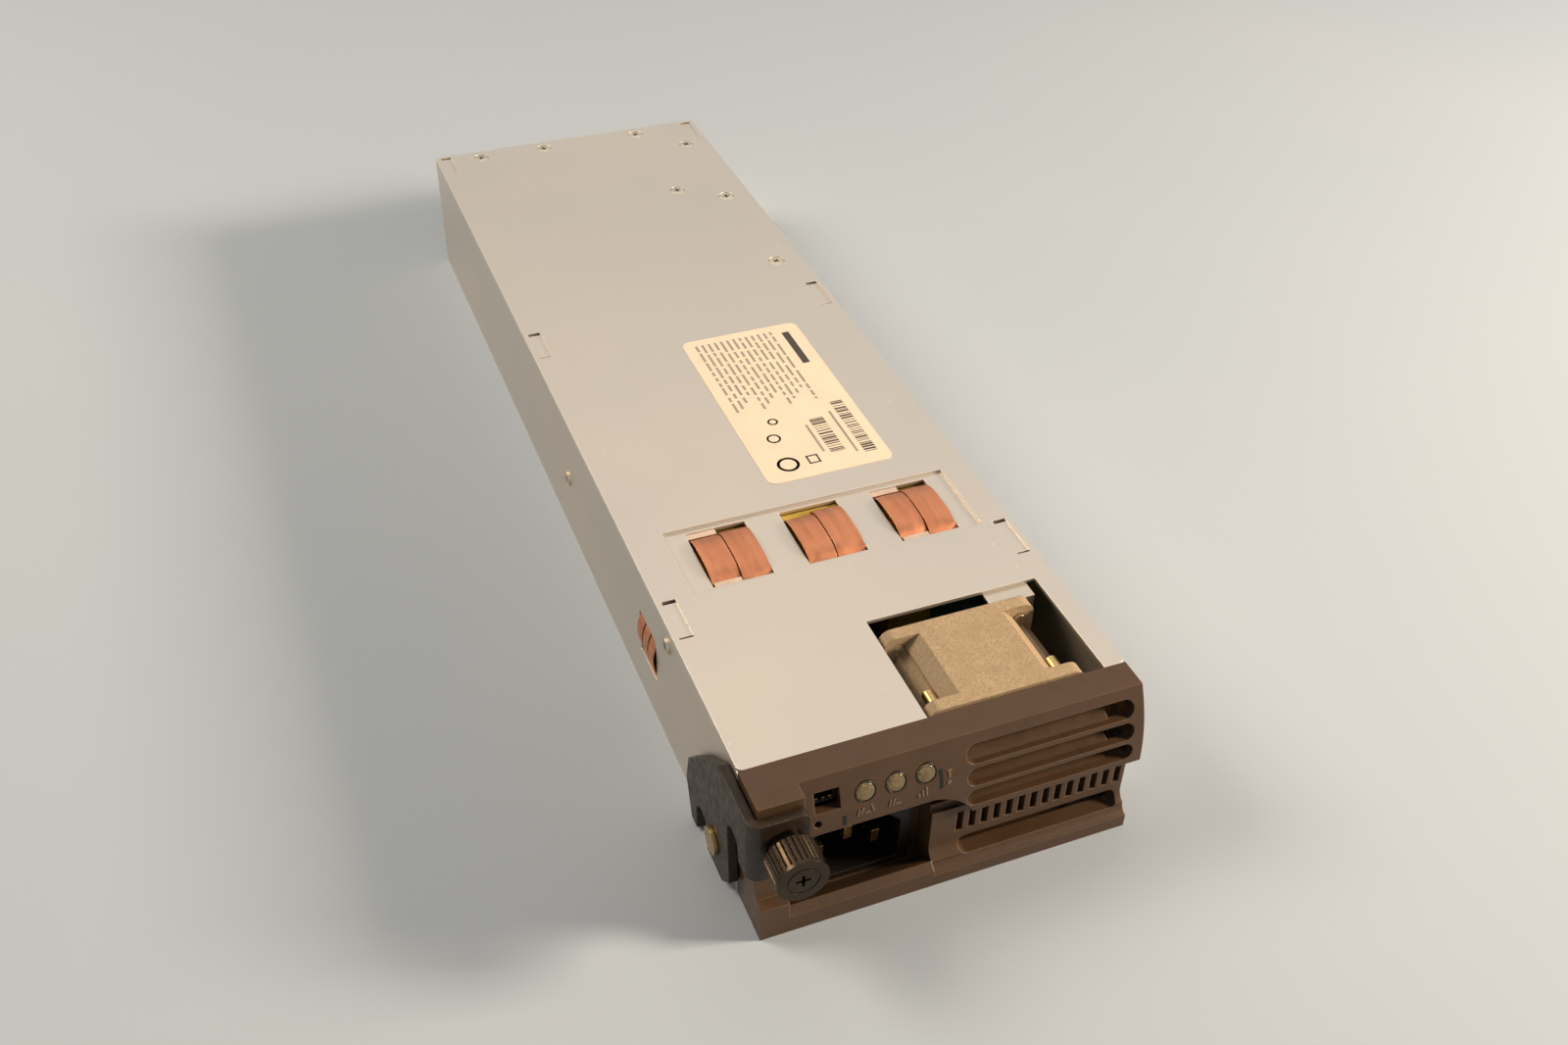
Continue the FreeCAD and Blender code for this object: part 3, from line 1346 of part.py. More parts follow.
def blade_section(body, radius, sweep):
    """A blade's cross-section at one radius: a leaning strip, front edge to back edge."""
    section = new_sketch(body, "XY_Plane", radius)
    front = "hub_setback + blade_lead"
    back = f"({front} + blade_span)"
    lean = f"(({sweep}) / 2)"
    draw(section, [(f"-{lean} - blade_gauge / 2", front), (f"-{lean} + blade_gauge / 2", front),
                   (f"{lean} + blade_gauge / 2", back), (f"{lean} - blade_gauge / 2", back)])
    return section


def fan_impeller():
    """The rotor moulding: a cup closed at the front, with blades lofted from root to tip."""
    body = fan_body("fan_impeller")
    cup = new_sketch(body, "XZ_Plane", "-hub_setback")
    draw_circle(cup, "0", "0", "hub_radius")
    pad(body, cup, "hub_length", reverse=True)
    root = blade_section(body, "hub_radius - hub_wall * 0.8", "blade_root_sweep")
    tip = blade_section(body, "blade_tip", "blade_tip_sweep")
    blade = body.newObject("PartDesign::AdditiveLoft", "blade")
    blade.Profile = root
    blade.Sections = [tip]
    blade.Ruled = True
    around(body, [blade], (cup, ["N_Axis"]), "blade_count")
    hollow = new_sketch(body, "XZ_Plane", "-(hub_setback + hub_length)")
    draw_circle(hollow, "0", "0", "hub_radius - hub_wall")
    pocket(body, hollow, "hub_length - hub_wall", reverse=True)
    boss = new_sketch(body, "XZ_Plane", "-(hub_setback + hub_wall / 2)")
    draw_circle(boss, "0", "0", "fan_shaft_radius * 2")
    pad(body, boss, "hub_wall * 2", reverse=True)
    eye = new_sketch(body, "XZ_Plane", "-(hub_setback + hub_wall * 2.5)")
    draw_circle(eye, "0", "0", "fan_shaft_radius")
    pocket(body, eye, "hub_wall * 2", reverse=True)


FAN_AXIS = (FAN_MIDDLE, FAN_LEVEL)


def from_fan(distance):
    """A place along the case, measured back from the fan's front face."""
    return f"({FAN_FACE} + {distance})"


def fan_inner_parts():
    """The rotor's magnet and shaft, and the bearings and wound core that stay still."""
    inner = "(hub_radius - hub_wall)"
    magnet_end = "(hub_setback + hub_length - hub_gap)"
    magnet_start = f"({magnet_end} - magnet_length)"
    keep(tube("y", FAN_AXIS, from_fan(magnet_start), from_fan(magnet_end), inner, f"{inner} - magnet_gauge"),
         "fan_magnet")
    plate = "(fan_depth - fan_hub_plate)"
    shaft_start = "(hub_setback + hub_wall / 2)"
    keep(rod("y", FAN_AXIS, from_fan(shaft_start), from_fan(f"{plate} - play"), "fan_shaft_radius"),
         "fan_shaft")
    bearings = [tube("y", FAN_AXIS, from_fan(start), from_fan(f"{start} + bearing_length"), "tube_bore",
                     "fan_shaft_radius + bearing_clearance")
                for start in (f"({plate} - tube_length + play)", f"({plate} - play - bearing_length)")]
    keep(group(bearings), "fan_bearings")
    start = from_fan(f"{plate} - tube_length + bearing_length")
    end = f"({start} + stator_length)"
    core = tube("y", FAN_AXIS, start, end, "stator_radius", "tube_radius")
    left = f"{FAN_MIDDLE} - stator_slot / 2"
    right = f"{FAN_MIDDLE} + stator_slot / 2"
    slot_foot = "(tube_radius + stator_slot)"
    slots = [block((left, start, f"{FAN_LEVEL} - stator_radius"), (right, end, f"{FAN_LEVEL} - {slot_foot}")),
             block((left, start, f"{FAN_LEVEL} + {slot_foot}"), (right, end, f"{FAN_LEVEL} + stator_radius"))]
    keep(cut(core, slots), "fan_stator")


FAN_SHANK = "(fan_screw_radius - thread_play)"


def fan_screws():
    """Tapping screws through the bezel's plate into the fan's front flange, tips showing behind it."""
    screws = []
    for across, up in FAN_HOLES:
        head = rod("y", (across, up), f"{PLATE_FRONT} - fan_screw_head_height", PLATE_FRONT, "fan_screw_head")
        shank = rod("y", (across, up), PLATE_FRONT, f"{PLATE_FRONT} + fan_screw_length", FAN_SHANK)
        screws.append(fused([head, shank]))
    keep(group(screws), "fan_screws")


def fan_bracket():
    """A bent tab behind the fan's upper right ear, hung under the cover, with its own screw."""
    rear = from_fan("fan_depth")
    left = f"({FAN_MIDDLE} + fan_hole_pitch / 2 - bracket_width / 2)"
    right = f"({FAN_MIDDLE} + fan_hole_pitch / 2 + bracket_width / 2)"
    plate = block((left, rear, f"{LID_UNDER} - bracket_drop"), (right, f"{rear} + bracket_gauge", LID_UNDER))
    foot = block((left, rear, f"{LID_UNDER} - bracket_gauge"), (right, f"{rear} + bracket_foot", LID_UNDER))
    across, up = FAN_HOLES[3]
    hole = rod("y", (across, up), rear, f"{rear} + bracket_gauge", "fan_screw_radius")
    keep(cut(fused([plate, foot]), [hole]), "fan_bracket")
    outside = f"({rear} + bracket_gauge)"
    head = rod("y", (across, up), outside, f"{outside} + fan_screw_head_height", "bracket_screw_head")
    shank = rod("y", (across, up), f"{rear} - fan_flange - bracket_gauge", outside, FAN_SHANK)
    keep(fused([head, shank]), "fan_bracket_screw")


# ---- main board and what stands on it ---------------------------------------------------------------

BOARD_LEFT = f"({WALL_LEFT} + board_margin)"
BOARD_RIGHT = f"({WALL_RIGHT} - board_margin)"
BOARD_FRONT = f"({FRONT} + board_front)"
BOARD_BACK = f"({BACK} - steel - board_back)"
SCREW_LEFT = f"({BOARD_LEFT} + standoff_inset)"
SCREW_RIGHT = f"({BOARD_RIGHT} - standoff_inset)"
SCREW_FRONT = f"({BOARD_FRONT} + standoff_inset)"
SCREW_MIDDLE = f"({FRONT} + (left_sink_front + left_sink_length + right_sink_front) / 2)"
BOARD_SCREWS = [(SCREW_LEFT, SCREW_FRONT), (SCREW_RIGHT, SCREW_FRONT),
                (SCREW_LEFT, SCREW_MIDDLE), (SCREW_RIGHT, SCREW_MIDDLE),
                (SCREW_LEFT, f"({BOARD_BACK} - standoff_inset - connector_length)"),
                (SCREW_RIGHT, f"({BOARD_BACK} - standoff_back)")]


def main_board():
    under = "(steel + standoff_height)"
    board = block((BOARD_LEFT, BOARD_FRONT, under), (BOARD_RIGHT, BOARD_BACK, DECK))
    holes = [rod("z", spot, under, DECK, "board_screw_radius") for spot in BOARD_SCREWS]
    keep(cut(board, holes), "main_board")
    posts = [tube("z", spot, "steel", under, "standoff_radius", "board_screw_radius")
             for spot in BOARD_SCREWS]
    keep(group(posts), "board_standoffs")
    screws = [fused([rod("z", spot, DECK, f"{DECK} + board_head_height", "board_head_radius"),
                     rod("z", spot, "steel + play", DECK, "board_screw_radius - thread_play")])
              for spot in BOARD_SCREWS]
    keep(group(screws), "board_screws")


def comb(web, way, height, flange):
    """A finned extrusion cut across: the fins reach way from the web, the top flange the other way."""
    face = f"({web} - ({way}) * sink_web)"
    tip = f"({web} + ({way}) * (sink_reach - sink_web))"
    high = f"({DECK} + {height})"
    corners = [(face, DECK)]
    for fin in range(int(value("sink_fins"))):
        low = f"({DECK} + ({height} - sink_fin) * {fin} / (sink_fins - 1))"
        corners += [(web, low)] if fin else []
        corners += [(tip, low), (tip, f"{low} + sink_fin")]
        if fin < int(value("sink_fins")) - 1:
            corners += [(web, f"{low} + sink_fin")]
    if flange:
        far = f"({web} - ({way}) * sink_flange_reach)"
        corners[-1] = (tip, high)
        corners += [(far, high), (far, f"{high} - sink_web"), (face, f"{high} - sink_web")]
    else:
        corners += [(face, high)]
    return corners


LEFT_WEB = f"({WALL_LEFT} + board_margin + sink_reach - sink_web)"
RIGHT_WEB = f"({WALL_RIGHT} - board_margin - sink_reach + sink_web)"


def heatsinks():
    """A finned rail along each side wall; the right one's flange takes four of the cover's screws."""
    left = new_body("heatsink_left")
    section = new_sketch(left, "XZ_Plane", f"-({FRONT} + left_sink_front)")
    draw(section, comb(LEFT_WEB, "-1", "sink_height", False))
    pad(left, section, "left_sink_length", reverse=True)
    right = new_body("heatsink_right")
    section = new_sketch(right, "XZ_Plane", f"-({FRONT} + right_sink_front)")
    draw(section, comb(RIGHT_WEB, "1", f"({LID_UNDER} - {DECK})", True))
    pad(right, section, "right_sink_length", reverse=True)
    holes = new_sketch(right, "XY_Plane", LID_UNDER)
    for across, back in SINK_SCREWS:
        draw_circle(holes, across, back, "cover_shank_radius")
    pocket(right, holes, "cover_shank_length")


def transistor(face, way, middle):
    """One flat package against a heatsink's web, on three legs."""
    near, far = f"({face})", f"({face} + ({way}) * transistor_gauge)"
    if way < 0:
        near, far = far, near
    foot = f"({DECK} + transistor_lift)"
    case = block((near, f"{middle} - transistor_width / 2", foot),
                 (far, f"{middle} + transistor_width / 2", f"{foot} + transistor_height"))
    legs = []
    for number in (-1, 0, 1):
        leg = f"({middle} + {number} * leg_pitch)"
        across = f"(({near} + {far}) / 2)"
        legs.append(block((f"{across} - leg_width / 2", f"{leg} - leg_width / 2", DECK),
                          (f"{across} + leg_width / 2", f"{leg} + leg_width / 2", foot)))
    return fused([case] + legs)


def transistors():
    rows = (("transistors_left", f"({LEFT_WEB} + sink_web)", 1, f"({FRONT} + left_sink_front)"),
            ("transistors_right", f"({RIGHT_WEB} - sink_web)", -1, f"({FRONT} + right_sink_front)"))
    for label, face, way, start in rows:
        middles = [f"({start} + transistor_pitch * ({number} + 0.7))" for number in range(3)]
        keep(group([transistor(face, way, middle) for middle in middles]), label)


def round_can(across, back, radius, height):
    """An upright electrolytic can with a rolled groove near its foot."""
    can = rod("z", (across, back), DECK, f"{DECK} + {height}", radius)
    groove = tube("z", (across, back), f"{DECK} + {height} * 0.1", f"{DECK} + {height} * 0.15",
                  f"{radius} * 2", f"{radius} * 0.93")
    return cut(can, [groove])


OUTPUT_LEFT = f"({LEFT} + output_from_left)"


def capacitors():
    for number in range(2):
        back = f"({FRONT} + bulk_front + {number} * bulk_pitch)"
        keep(round_can("bulk_across", back, "bulk_radius", "bulk_height"), f"bulk_capacitor_{number + 1}")
    cans = []
    for row in (0, 1):
        for number in range(int(value("output_can_count"))):
            across = f"({OUTPUT_LEFT} + output_can_radius / 2 + {number} * output_can_pitch)"
            back = f"({FRONT} + output_can_front + {row} * output_can_pitch)"
            cans.append(rod("z", (across, back), DECK, f"{DECK} + output_can_height", "output_can_radius"))
    keep(group(cans), "output_capacitors")


def toroid():
    """The boost choke: a wound ring lying on its round base."""
    middle = ("0", f"({FRONT} + choke_front)")
    top = f"({DECK} + choke_base)"
    keep(rod("z", middle, DECK, top, "choke_ring + choke_wire / 2"), "choke_base")
    keep(tube("z", middle, top, f"{top} + choke_wire * 2", "choke_ring + choke_wire", "choke_ring - choke_wire"),
         "choke_winding")


def transformer():
    """Two E cores round a wound middle leg."""
    left = "(-core_width / 2)"
    front = f"({FRONT} + core_front)"
    back = f"({front} + core_length)"
    low = f"({DECK} + choke_base)"
    window_low = f"({low} + core_leg / 2)"
    window_high = f"({DECK} + core_height - core_leg / 2)"
    core = block((left, front, low), ("core_width / 2", back, f"{DECK} + core_height"))
    sides = ((f"({left} + core_leg)", "(-core_leg / 2)"), ("(core_leg / 2)", "(core_width / 2 - core_leg)"))
    windows = [block((start, front, window_low), (end, back, window_high)) for start, end in sides]
    keep(cut(core, windows), "transformer_core")
    coils = [block((f"{start} + play", f"{front} + core_leg / 2", f"{window_low} + play"),
                   (f"{end} - play", f"{back} - core_leg / 2", f"{window_high} - play"))
             for start, end in sides]
    keep(group(coils), "transformer_winding")
    keep(block((left, front, DECK), ("core_width / 2", back, low)), "transformer_bobbin")


def filter_parts():
    """The mains filter near the front: a boxed choke and two film capacitors."""
    front = f"({FRONT} + filter_front)"
    left = f"({BOARD_LEFT} + standoff_inset * 2)"
    keep(block((left, front, DECK),
               (f"{left} + filter_width", f"{front} + filter_length", f"{DECK} + filter_height")),
         "filter_choke")
    films = []
    for number in (0, 1):
        start = f"({left} + filter_width + standoff_inset + {number} * (film_width + standoff_inset))"
        films.append(block((start, front, DECK),
                           (f"{start} + film_width", f"{front} + film_length", f"{DECK} + film_height")))
    keep(group(films), "film_capacitors")


def output_parts():
    """The output choke, the upright control board and the plug-in connector in the rear wall."""
    front = f"({FRONT} + output_choke_front)"
    keep(block((OUTPUT_LEFT, front, DECK),
               (f"{OUTPUT_LEFT} + output_choke_width", f"{front} + output_choke_length",
                f"{DECK} + output_choke_height")), "output_choke")
    start = f"({FRONT} + control_front)"
    across = f"({OUTPUT_LEFT} + output_choke_width + standoff_inset * 2)"
    keep(block((across, start, DECK),
               (f"{across} + board_gauge", f"{start} + control_length", f"{DECK} + control_height")),
         "control_board")
    rear = f"({BACK} + connector_proud)"
    inner = f"({rear} - connector_length)"
    floor = f"({inner} + connector_wall)"
    shell = block((CONNECTOR_LEFT, inner, DECK), (CONNECTOR_RIGHT, rear, f"{DECK} + connector_height"))
    mouth = block((f"{CONNECTOR_LEFT} + connector_wall", floor, f"{DECK} + connector_wall"),
                  (f"{CONNECTOR_RIGHT} - connector_wall", rear, f"{DECK} + connector_height - connector_wall"))
    keep(cut(shell, [mouth]), "output_connector")
    blades = []
    for number in range(int(value("power_blade_count"))):
        middle = f"({CONNECTOR_LEFT} + connector_wall + power_blade_pitch * ({number} + 0.8))"
        low = (f"{middle} - power_blade_gauge / 2", floor, f"{DECK} + connector_wall * 2")
        high = (f"{middle} + power_blade_gauge / 2", f"{rear} - connector_wall",
                f"{DECK} + connector_height - connector_wall * 2")
        blades.append(block(low, high))
    keep(group(blades), "output_contacts")


# ---- building, checking and writing -------------------------------------------------------------------

def check():
    """Stops when any object failed or a piece is empty, invalid or shares its name."""
    for thing in doc.Objects:
        if "Invalid" in thing.State or "Error" in thing.State:
            raise RuntimeError(f"{thing.Label} failed: {thing.State}")
    labels = [node.Label for node in nodes]
    if len(set(labels)) != len(labels):
        raise RuntimeError("two pieces share a name")
    for node in nodes:
        if node.Shape.isNull() or not node.Shape.isValid() or node.Shape.Volume <= 0:
            raise RuntimeError(f"{node.Label} has no valid solid")


def write():
    os.makedirs("parts", exist_ok=True)
    for node in nodes:
        node.Shape.exportStep(f"parts/{node.Label}.step")


def build():
    base_chassis()
    top_cover()
    for number in range(3):
        top_clip(number)
    side_clip("ground_clip_left", -1)
    side_clip("ground_clip_right", 1)
    insulator_sheet()
    rating_label()
    cover_screws()
    side_screws()
    front_bezel()
    for number in range(3):
        indicator_lens(number)
    indicator_board()
    service_header()
    lock_insert()
    inlet_housing()
    inlet_pins()
    ejector_lever()
    pivot_rivet()
    screw_ferrule()
    retaining_ring()
    thumbscrew_knob()
    thumbscrew_shank()
    fan_frame()
    fan_impeller()
    fan_inner_parts()
    fan_screws()
    fan_bracket()
    main_board()
    heatsinks()
    transistors()
    capacitors()
    toroid()
    transformer()
    filter_parts()
    output_parts()
    doc.recompute()


build()
check()
write()
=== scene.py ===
import math
import random

import bmesh
import bpy
from mathutils import Matrix, Vector
from mathutils.bvhtree import BVHTree

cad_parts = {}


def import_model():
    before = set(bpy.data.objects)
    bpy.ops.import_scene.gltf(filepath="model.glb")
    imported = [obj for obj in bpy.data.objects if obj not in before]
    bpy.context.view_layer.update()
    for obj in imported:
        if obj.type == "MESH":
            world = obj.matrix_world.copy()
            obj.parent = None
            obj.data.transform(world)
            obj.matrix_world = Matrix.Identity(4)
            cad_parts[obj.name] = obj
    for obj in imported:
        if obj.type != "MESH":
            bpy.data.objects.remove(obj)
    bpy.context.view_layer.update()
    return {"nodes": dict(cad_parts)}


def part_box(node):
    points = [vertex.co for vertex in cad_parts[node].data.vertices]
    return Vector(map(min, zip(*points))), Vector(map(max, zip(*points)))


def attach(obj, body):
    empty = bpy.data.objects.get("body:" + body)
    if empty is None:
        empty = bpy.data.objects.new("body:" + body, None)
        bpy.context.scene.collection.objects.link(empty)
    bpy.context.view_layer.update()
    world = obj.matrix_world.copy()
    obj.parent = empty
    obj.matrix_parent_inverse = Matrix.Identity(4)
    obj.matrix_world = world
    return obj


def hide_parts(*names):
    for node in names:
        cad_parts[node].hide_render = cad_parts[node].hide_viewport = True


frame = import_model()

MM = 0.001
NODES = frame["nodes"]
BEVEL_SAMPLES = 6
# brightening used for the sheet's specks and for its painted edge highlight
EDGE_GAIN = 1.14
PLASTIC_SPECULAR = 0.32
PAINT_SPECULAR = 0.3
RING_STEPS = 40
HEAD_STEPS = 32
CREASE = math.radians(42)
AHEAD_OF_FACE = -0.25


# ---- node materials ----------------------------------------------------------------------------------

def new_material(name):
    material = bpy.data.materials.new(name)
    material.use_nodes = True
    tree = material.node_tree
    shader = tree.nodes["Principled BSDF"]
    return material, tree, shader


def node(tree, kind, inputs=None, **settings):
    made = tree.nodes.new(kind)
    for key, setting in settings.items():
        setattr(made, key, setting)
    for key, setting in (inputs or {}).items():
        if isinstance(setting, bpy.types.NodeSocket):
            tree.links.new(setting, made.inputs[key])
        else:
            made.inputs[key].default_value = setting
    return made


def noise(tree, scale, detail=4.0, roughness=0.5, stretch=(1, 1, 1)):
    """Noise in the object's own metres; scale is features per metre."""
    place = node(tree, "ShaderNodeTexCoord").outputs["Object"]
    moved = node(tree, "ShaderNodeMapping", {"Vector": place, "Scale": stretch}).outputs["Vector"]
    return node(tree, "ShaderNodeTexNoise", {"Vector": moved, "Scale": scale, "Detail": detail,
                                             "Roughness": roughness}).outputs["Fac"]


def spread(tree, value, low, high, to_low=0.0, to_high=1.0):
    """The value moved from low..high to to_low..to_high and held there."""
    return node(tree, "ShaderNodeMapRange", {"Value": value, "From Min": low, "From Max": high,
                                             "To Min": to_low, "To Max": to_high}).outputs["Result"]


def blend(tree, factor, first, second):
    mix = node(tree, "ShaderNodeMix", data_type="RGBA")
    for socket, setting in ((mix.inputs[0], factor), (mix.inputs[6], first), (mix.inputs[7], second)):
        if isinstance(setting, bpy.types.NodeSocket):
            tree.links.new(setting, socket)
        else:
            socket.default_value = setting if isinstance(setting, float) else (*setting, 1.0)
    return mix.outputs[2]


def edge_mask(tree, radius):
    """1 on sharp edges, 0 on flat ground."""
    soft = node(tree, "ShaderNodeBevel", {"Radius": radius}, samples=BEVEL_SAMPLES).outputs["Normal"]
    hard = node(tree, "ShaderNodeNewGeometry").outputs["Normal"]
    alike = node(tree, "ShaderNodeVectorMath", {0: soft, 1: hard}, operation="DOT_PRODUCT").outputs["Value"]
    return spread(tree, alike, 0.995, 0.9)


def finish_surface(tree, shader, grain, depth, radius):
    """Rounds the edges' shading and adds the grain as relief."""
    normal = node(tree, "ShaderNodeBevel", {"Radius": radius}, samples=BEVEL_SAMPLES).outputs["Normal"]
    bump = node(tree, "ShaderNodeBump",
                {"Strength": 1.0, "Distance": depth, "Height": grain, "Normal": normal})
    tree.links.new(bump.outputs["Normal"], shader.inputs["Normal"])


def sheet_steel(name, colour, cooler, roughness):
    """Zinc-coated sheet: cloudy patches, sparse specks, faint rolling lines and a painted highlight along its
    edges.
    """
    material, tree, shader = new_material(name)
    clouds = noise(tree, 14.0, 3.0, 0.5)
    lines = noise(tree, 900.0, 3.0, 0.5, (1, 0.03, 1))
    ground = blend(tree, spread(tree, clouds, 0.3, 0.7), colour, cooler)
    bright = [min(1.0, part * EDGE_GAIN) for part in colour]
    place = node(tree, "ShaderNodeTexCoord").outputs["Object"]
    dots = node(tree, "ShaderNodeTexVoronoi", {"Vector": place, "Scale": 210.0}).outputs["Distance"]
    sparse = spread(tree, noise(tree, 45.0, 2.0), 0.56, 0.62)
    specks = node(tree, "ShaderNodeMath", {0: spread(tree, dots, 0.10, 0.05), 1: sparse},
                  operation="MULTIPLY")
    marked = blend(tree, specks.outputs["Value"], ground, bright)
    # painted highlight: edges and bends are drawn in the brighter tone, standing in for the light they catch
    edged = blend(tree, edge_mask(tree, 0.6 * MM), marked, bright)
    tree.links.new(edged, shader.inputs["Base Color"])
    rough = spread(tree, noise(tree, 30.0, 3.0, 0.5), 0.3, 0.7, roughness - 0.02, roughness + 0.03)
    tree.links.new(rough, shader.inputs["Roughness"])
    shader.inputs["Metallic"].default_value = 0.85
    finish_surface(tree, shader, lines, 0.004 * MM, 0.25 * MM)
    return material


def plain_metal(name, colour, roughness, grain_scale=1500.0, depth=0.006 * MM, metallic=1.0):
    material, tree, shader = new_material(name)
    patches = noise(tree, 240.0, 4.0, 0.6)
    darker = [part * 0.72 for part in colour]
    tree.links.new(blend(tree, spread(tree, patches, 0.3, 0.7), colour, darker), shader.inputs["Base Color"])
    rough = spread(tree, noise(tree, 420.0), 0.3, 0.7, roughness - 0.06, roughness + 0.1)
    tree.links.new(rough, shader.inputs["Roughness"])
    shader.inputs["Metallic"].default_value = metallic
    finish_surface(tree, shader, noise(tree, grain_scale), depth, 0.12 * MM)
    return material


def moulded(name, colour, paler, roughness, grain=0.02 * MM, grain_scale=2600.0, radius=0.35 * MM):
    """Moulded plastic: fine spark texture, slight mottle, edges drawn paler."""
    material, tree, shader = new_material(name)
    mottle = spread(tree, noise(tree, 120.0, 5.0, 0.6), 0.3, 0.7)
    ground = blend(tree, mottle, colour, [part * 1.22 for part in colour])
    edged = blend(tree, edge_mask(tree, radius), ground, paler)
    tree.links.new(edged, shader.inputs["Base Color"])
    rough = spread(tree, noise(tree, 300.0), 0.3, 0.7, roughness - 0.06, roughness + 0.08)
    tree.links.new(rough, shader.inputs["Roughness"])
    shader.inputs["Specular IOR Level"].default_value = PLASTIC_SPECULAR
    finish_surface(tree, shader, noise(tree, grain_scale, 2.0), grain, radius)
    return material


def dusty(name, colour, dust, roughness):
    """Matt plastic with grey-tan dust lying in specks and patches."""
    material, tree, shader = new_material(name)
    patches = spread(tree, noise(tree, 170.0, 6.0, 0.7), 0.38, 0.62)
    specks = spread(tree, noise(tree, 2400.0, 3.0, 0.6), 0.46, 0.6)
    ground = blend(tree, patches, colour, dust)
    tree.links.new(blend(tree, specks, ground, [part * 0.80 for part in colour]), shader.inputs["Base Color"])
    shader.inputs["Roughness"].default_value = roughness
    finish_surface(tree, shader, noise(tree, 1900.0, 4.0, 0.7), 0.09 * MM, 0.4 * MM)
    return material


def worn_paint(name, colour, metal, roughness):
    """Dark paint with small chips, worn to metal along its edges."""
    material, tree, shader = new_material(name)
    chips = spread(tree, noise(tree, 1500.0, 4.0, 0.7), 0.66, 0.7)
    edges = edge_mask(tree, 0.3 * MM)
    broken = spread(tree, noise(tree, 1100.0, 5.0, 0.7), 0.45, 0.6)
    rubbed = node(tree, "ShaderNodeMath", {0: edges, 1: broken}, operation="MULTIPLY").outputs["Value"]
    worn = node(tree, "ShaderNodeMath", {0: rubbed, 1: chips}, operation="MAXIMUM").outputs["Value"]
    mottled = blend(tree, spread(tree, noise(tree, 260.0), 0.3, 0.7), colour, [part * 1.5 for part in colour])
    tree.links.new(blend(tree, worn, mottled, metal), shader.inputs["Base Color"])
    rough = spread(tree, noise(tree, 500.0), 0.3, 0.7, roughness - 0.08, roughness + 0.1)
    tree.links.new(rough, shader.inputs["Roughness"])
    tree.links.new(worn, shader.inputs["Metallic"])
    shader.inputs["Specular IOR Level"].default_value = PAINT_SPECULAR
    finish_surface(tree, shader, noise(tree, 1400.0, 3.0), 0.03 * MM, 0.35 * MM)
    return material


def copper(name, colour, dull, roughness):
    """Rolled copper strip: lengthwise streaks with browner patches."""
    material, tree, shader = new_material(name)
    streaks = spread(tree, noise(tree, 420.0, 3.0, 0.5, (1, 0.12, 1)), 0.3, 0.7)
    tree.links.new(blend(tree, streaks, colour, dull), shader.inputs["Base Color"])
    rough = spread(tree, noise(tree, 260.0, 4.0), 0.3, 0.7, roughness - 0.08, roughness + 0.1)
    tree.links.new(rough, shader.inputs["Roughness"])
    shader.inputs["Metallic"].default_value = 0.9
    finish_surface(tree, shader, noise(tree, 1500.0, 3.0, 0.5, (1, 0.1, 1)), 0.005 * MM, 0.1 * MM)
    return material


def clear(name, colour, roughness, density_colour):
    """Clear plastic: mostly transmission, tinted, with faint inner waviness."""
    material, tree, shader = new_material(name)
    tint = blend(tree, spread(tree, noise(tree, 700.0), 0.35, 0.65), colour, density_colour)
    tree.links.new(tint, shader.inputs["Base Color"])
    rough = spread(tree, noise(tree, 900.0), 0.3, 0.7, roughness, roughness + 0.08)
    tree.links.new(rough, shader.inputs["Roughness"])
    shader.inputs["Transmission Weight"].default_value = 0.9
    shader.inputs["IOR"].default_value = 1.47
    finish_surface(tree, shader, noise(tree, 1200.0), 0.004 * MM, 0.15 * MM)
    return material


def paper(name, colour, shade):
    material, tree, shader = new_material(name)
    ground = blend(tree, spread(tree, noise(tree, 90.0), 0.3, 0.7), colour, shade)
    tree.links.new(ground, shader.inputs["Base Color"])
    rough = spread(tree, noise(tree, 600.0), 0.3, 0.7, 0.38, 0.5)
    tree.links.new(rough, shader.inputs["Roughness"])
    finish_surface(tree, shader, noise(tree, 1600.0), 0.004 * MM, 0.05 * MM)
    return material


STEEL = sheet_steel("zinc_sheet", (0.66, 0.595, 0.515), (0.61, 0.565, 0.51), 0.42)
INNER_STEEL = sheet_steel("zinc_sheet_inner", (0.62, 0.56, 0.48), (0.57, 0.525, 0.46), 0.36)
BEZEL = moulded("bezel_plastic", (0.072, 0.040, 0.021), (0.18, 0.11, 0.062), 0.36)
COPPER = copper("copper_strip", (0.70, 0.29, 0.15), (0.52, 0.20, 0.10), 0.42)
PALE_COPPER = plain_metal("copper_lip", (0.82, 0.62, 0.47), 0.36, metallic=0.7)
AMBER = moulded("amber_edge", (0.46, 0.32, 0.05), (0.60, 0.44, 0.12), 0.3, 0.004 * MM)
FILM = clear("amber_film", (0.85, 0.58, 0.08), 0.18, (0.75, 0.45, 0.05))
LABEL = paper("label_paper", (0.90, 0.79, 0.65), (0.85, 0.745, 0.61))
SCREW = plain_metal("screw_steel", (0.80, 0.70, 0.54), 0.34)
LENS = clear("lens_plastic", (0.84, 0.70, 0.42), 0.03, (0.76, 0.64, 0.38))
BOARD = moulded("solder_mask", (0.02, 0.11, 0.055), (0.05, 0.2, 0.1), 0.35)
WHITE = moulded("white_plastic", (0.62, 0.60, 0.54), (0.75, 0.73, 0.68), 0.38)
BLACK = moulded("black_plastic", (0.012, 0.010, 0.008), (0.045, 0.037, 0.030), 0.36, 0.015 * MM)
GILT = plain_metal("gilt_contact", (0.83, 0.60, 0.26), 0.22)
BRASS = plain_metal("turned_brass", (0.66, 0.45, 0.20), 0.30)
PAINT = worn_paint("lever_paint", (0.022, 0.0135, 0.008), (0.20, 0.14, 0.085), 0.42)
NICKEL = plain_metal("black_nickel", (0.075, 0.055, 0.038), 0.18)
KNOB = plain_metal("knob_nickel", (0.062, 0.044, 0.029), 0.26)
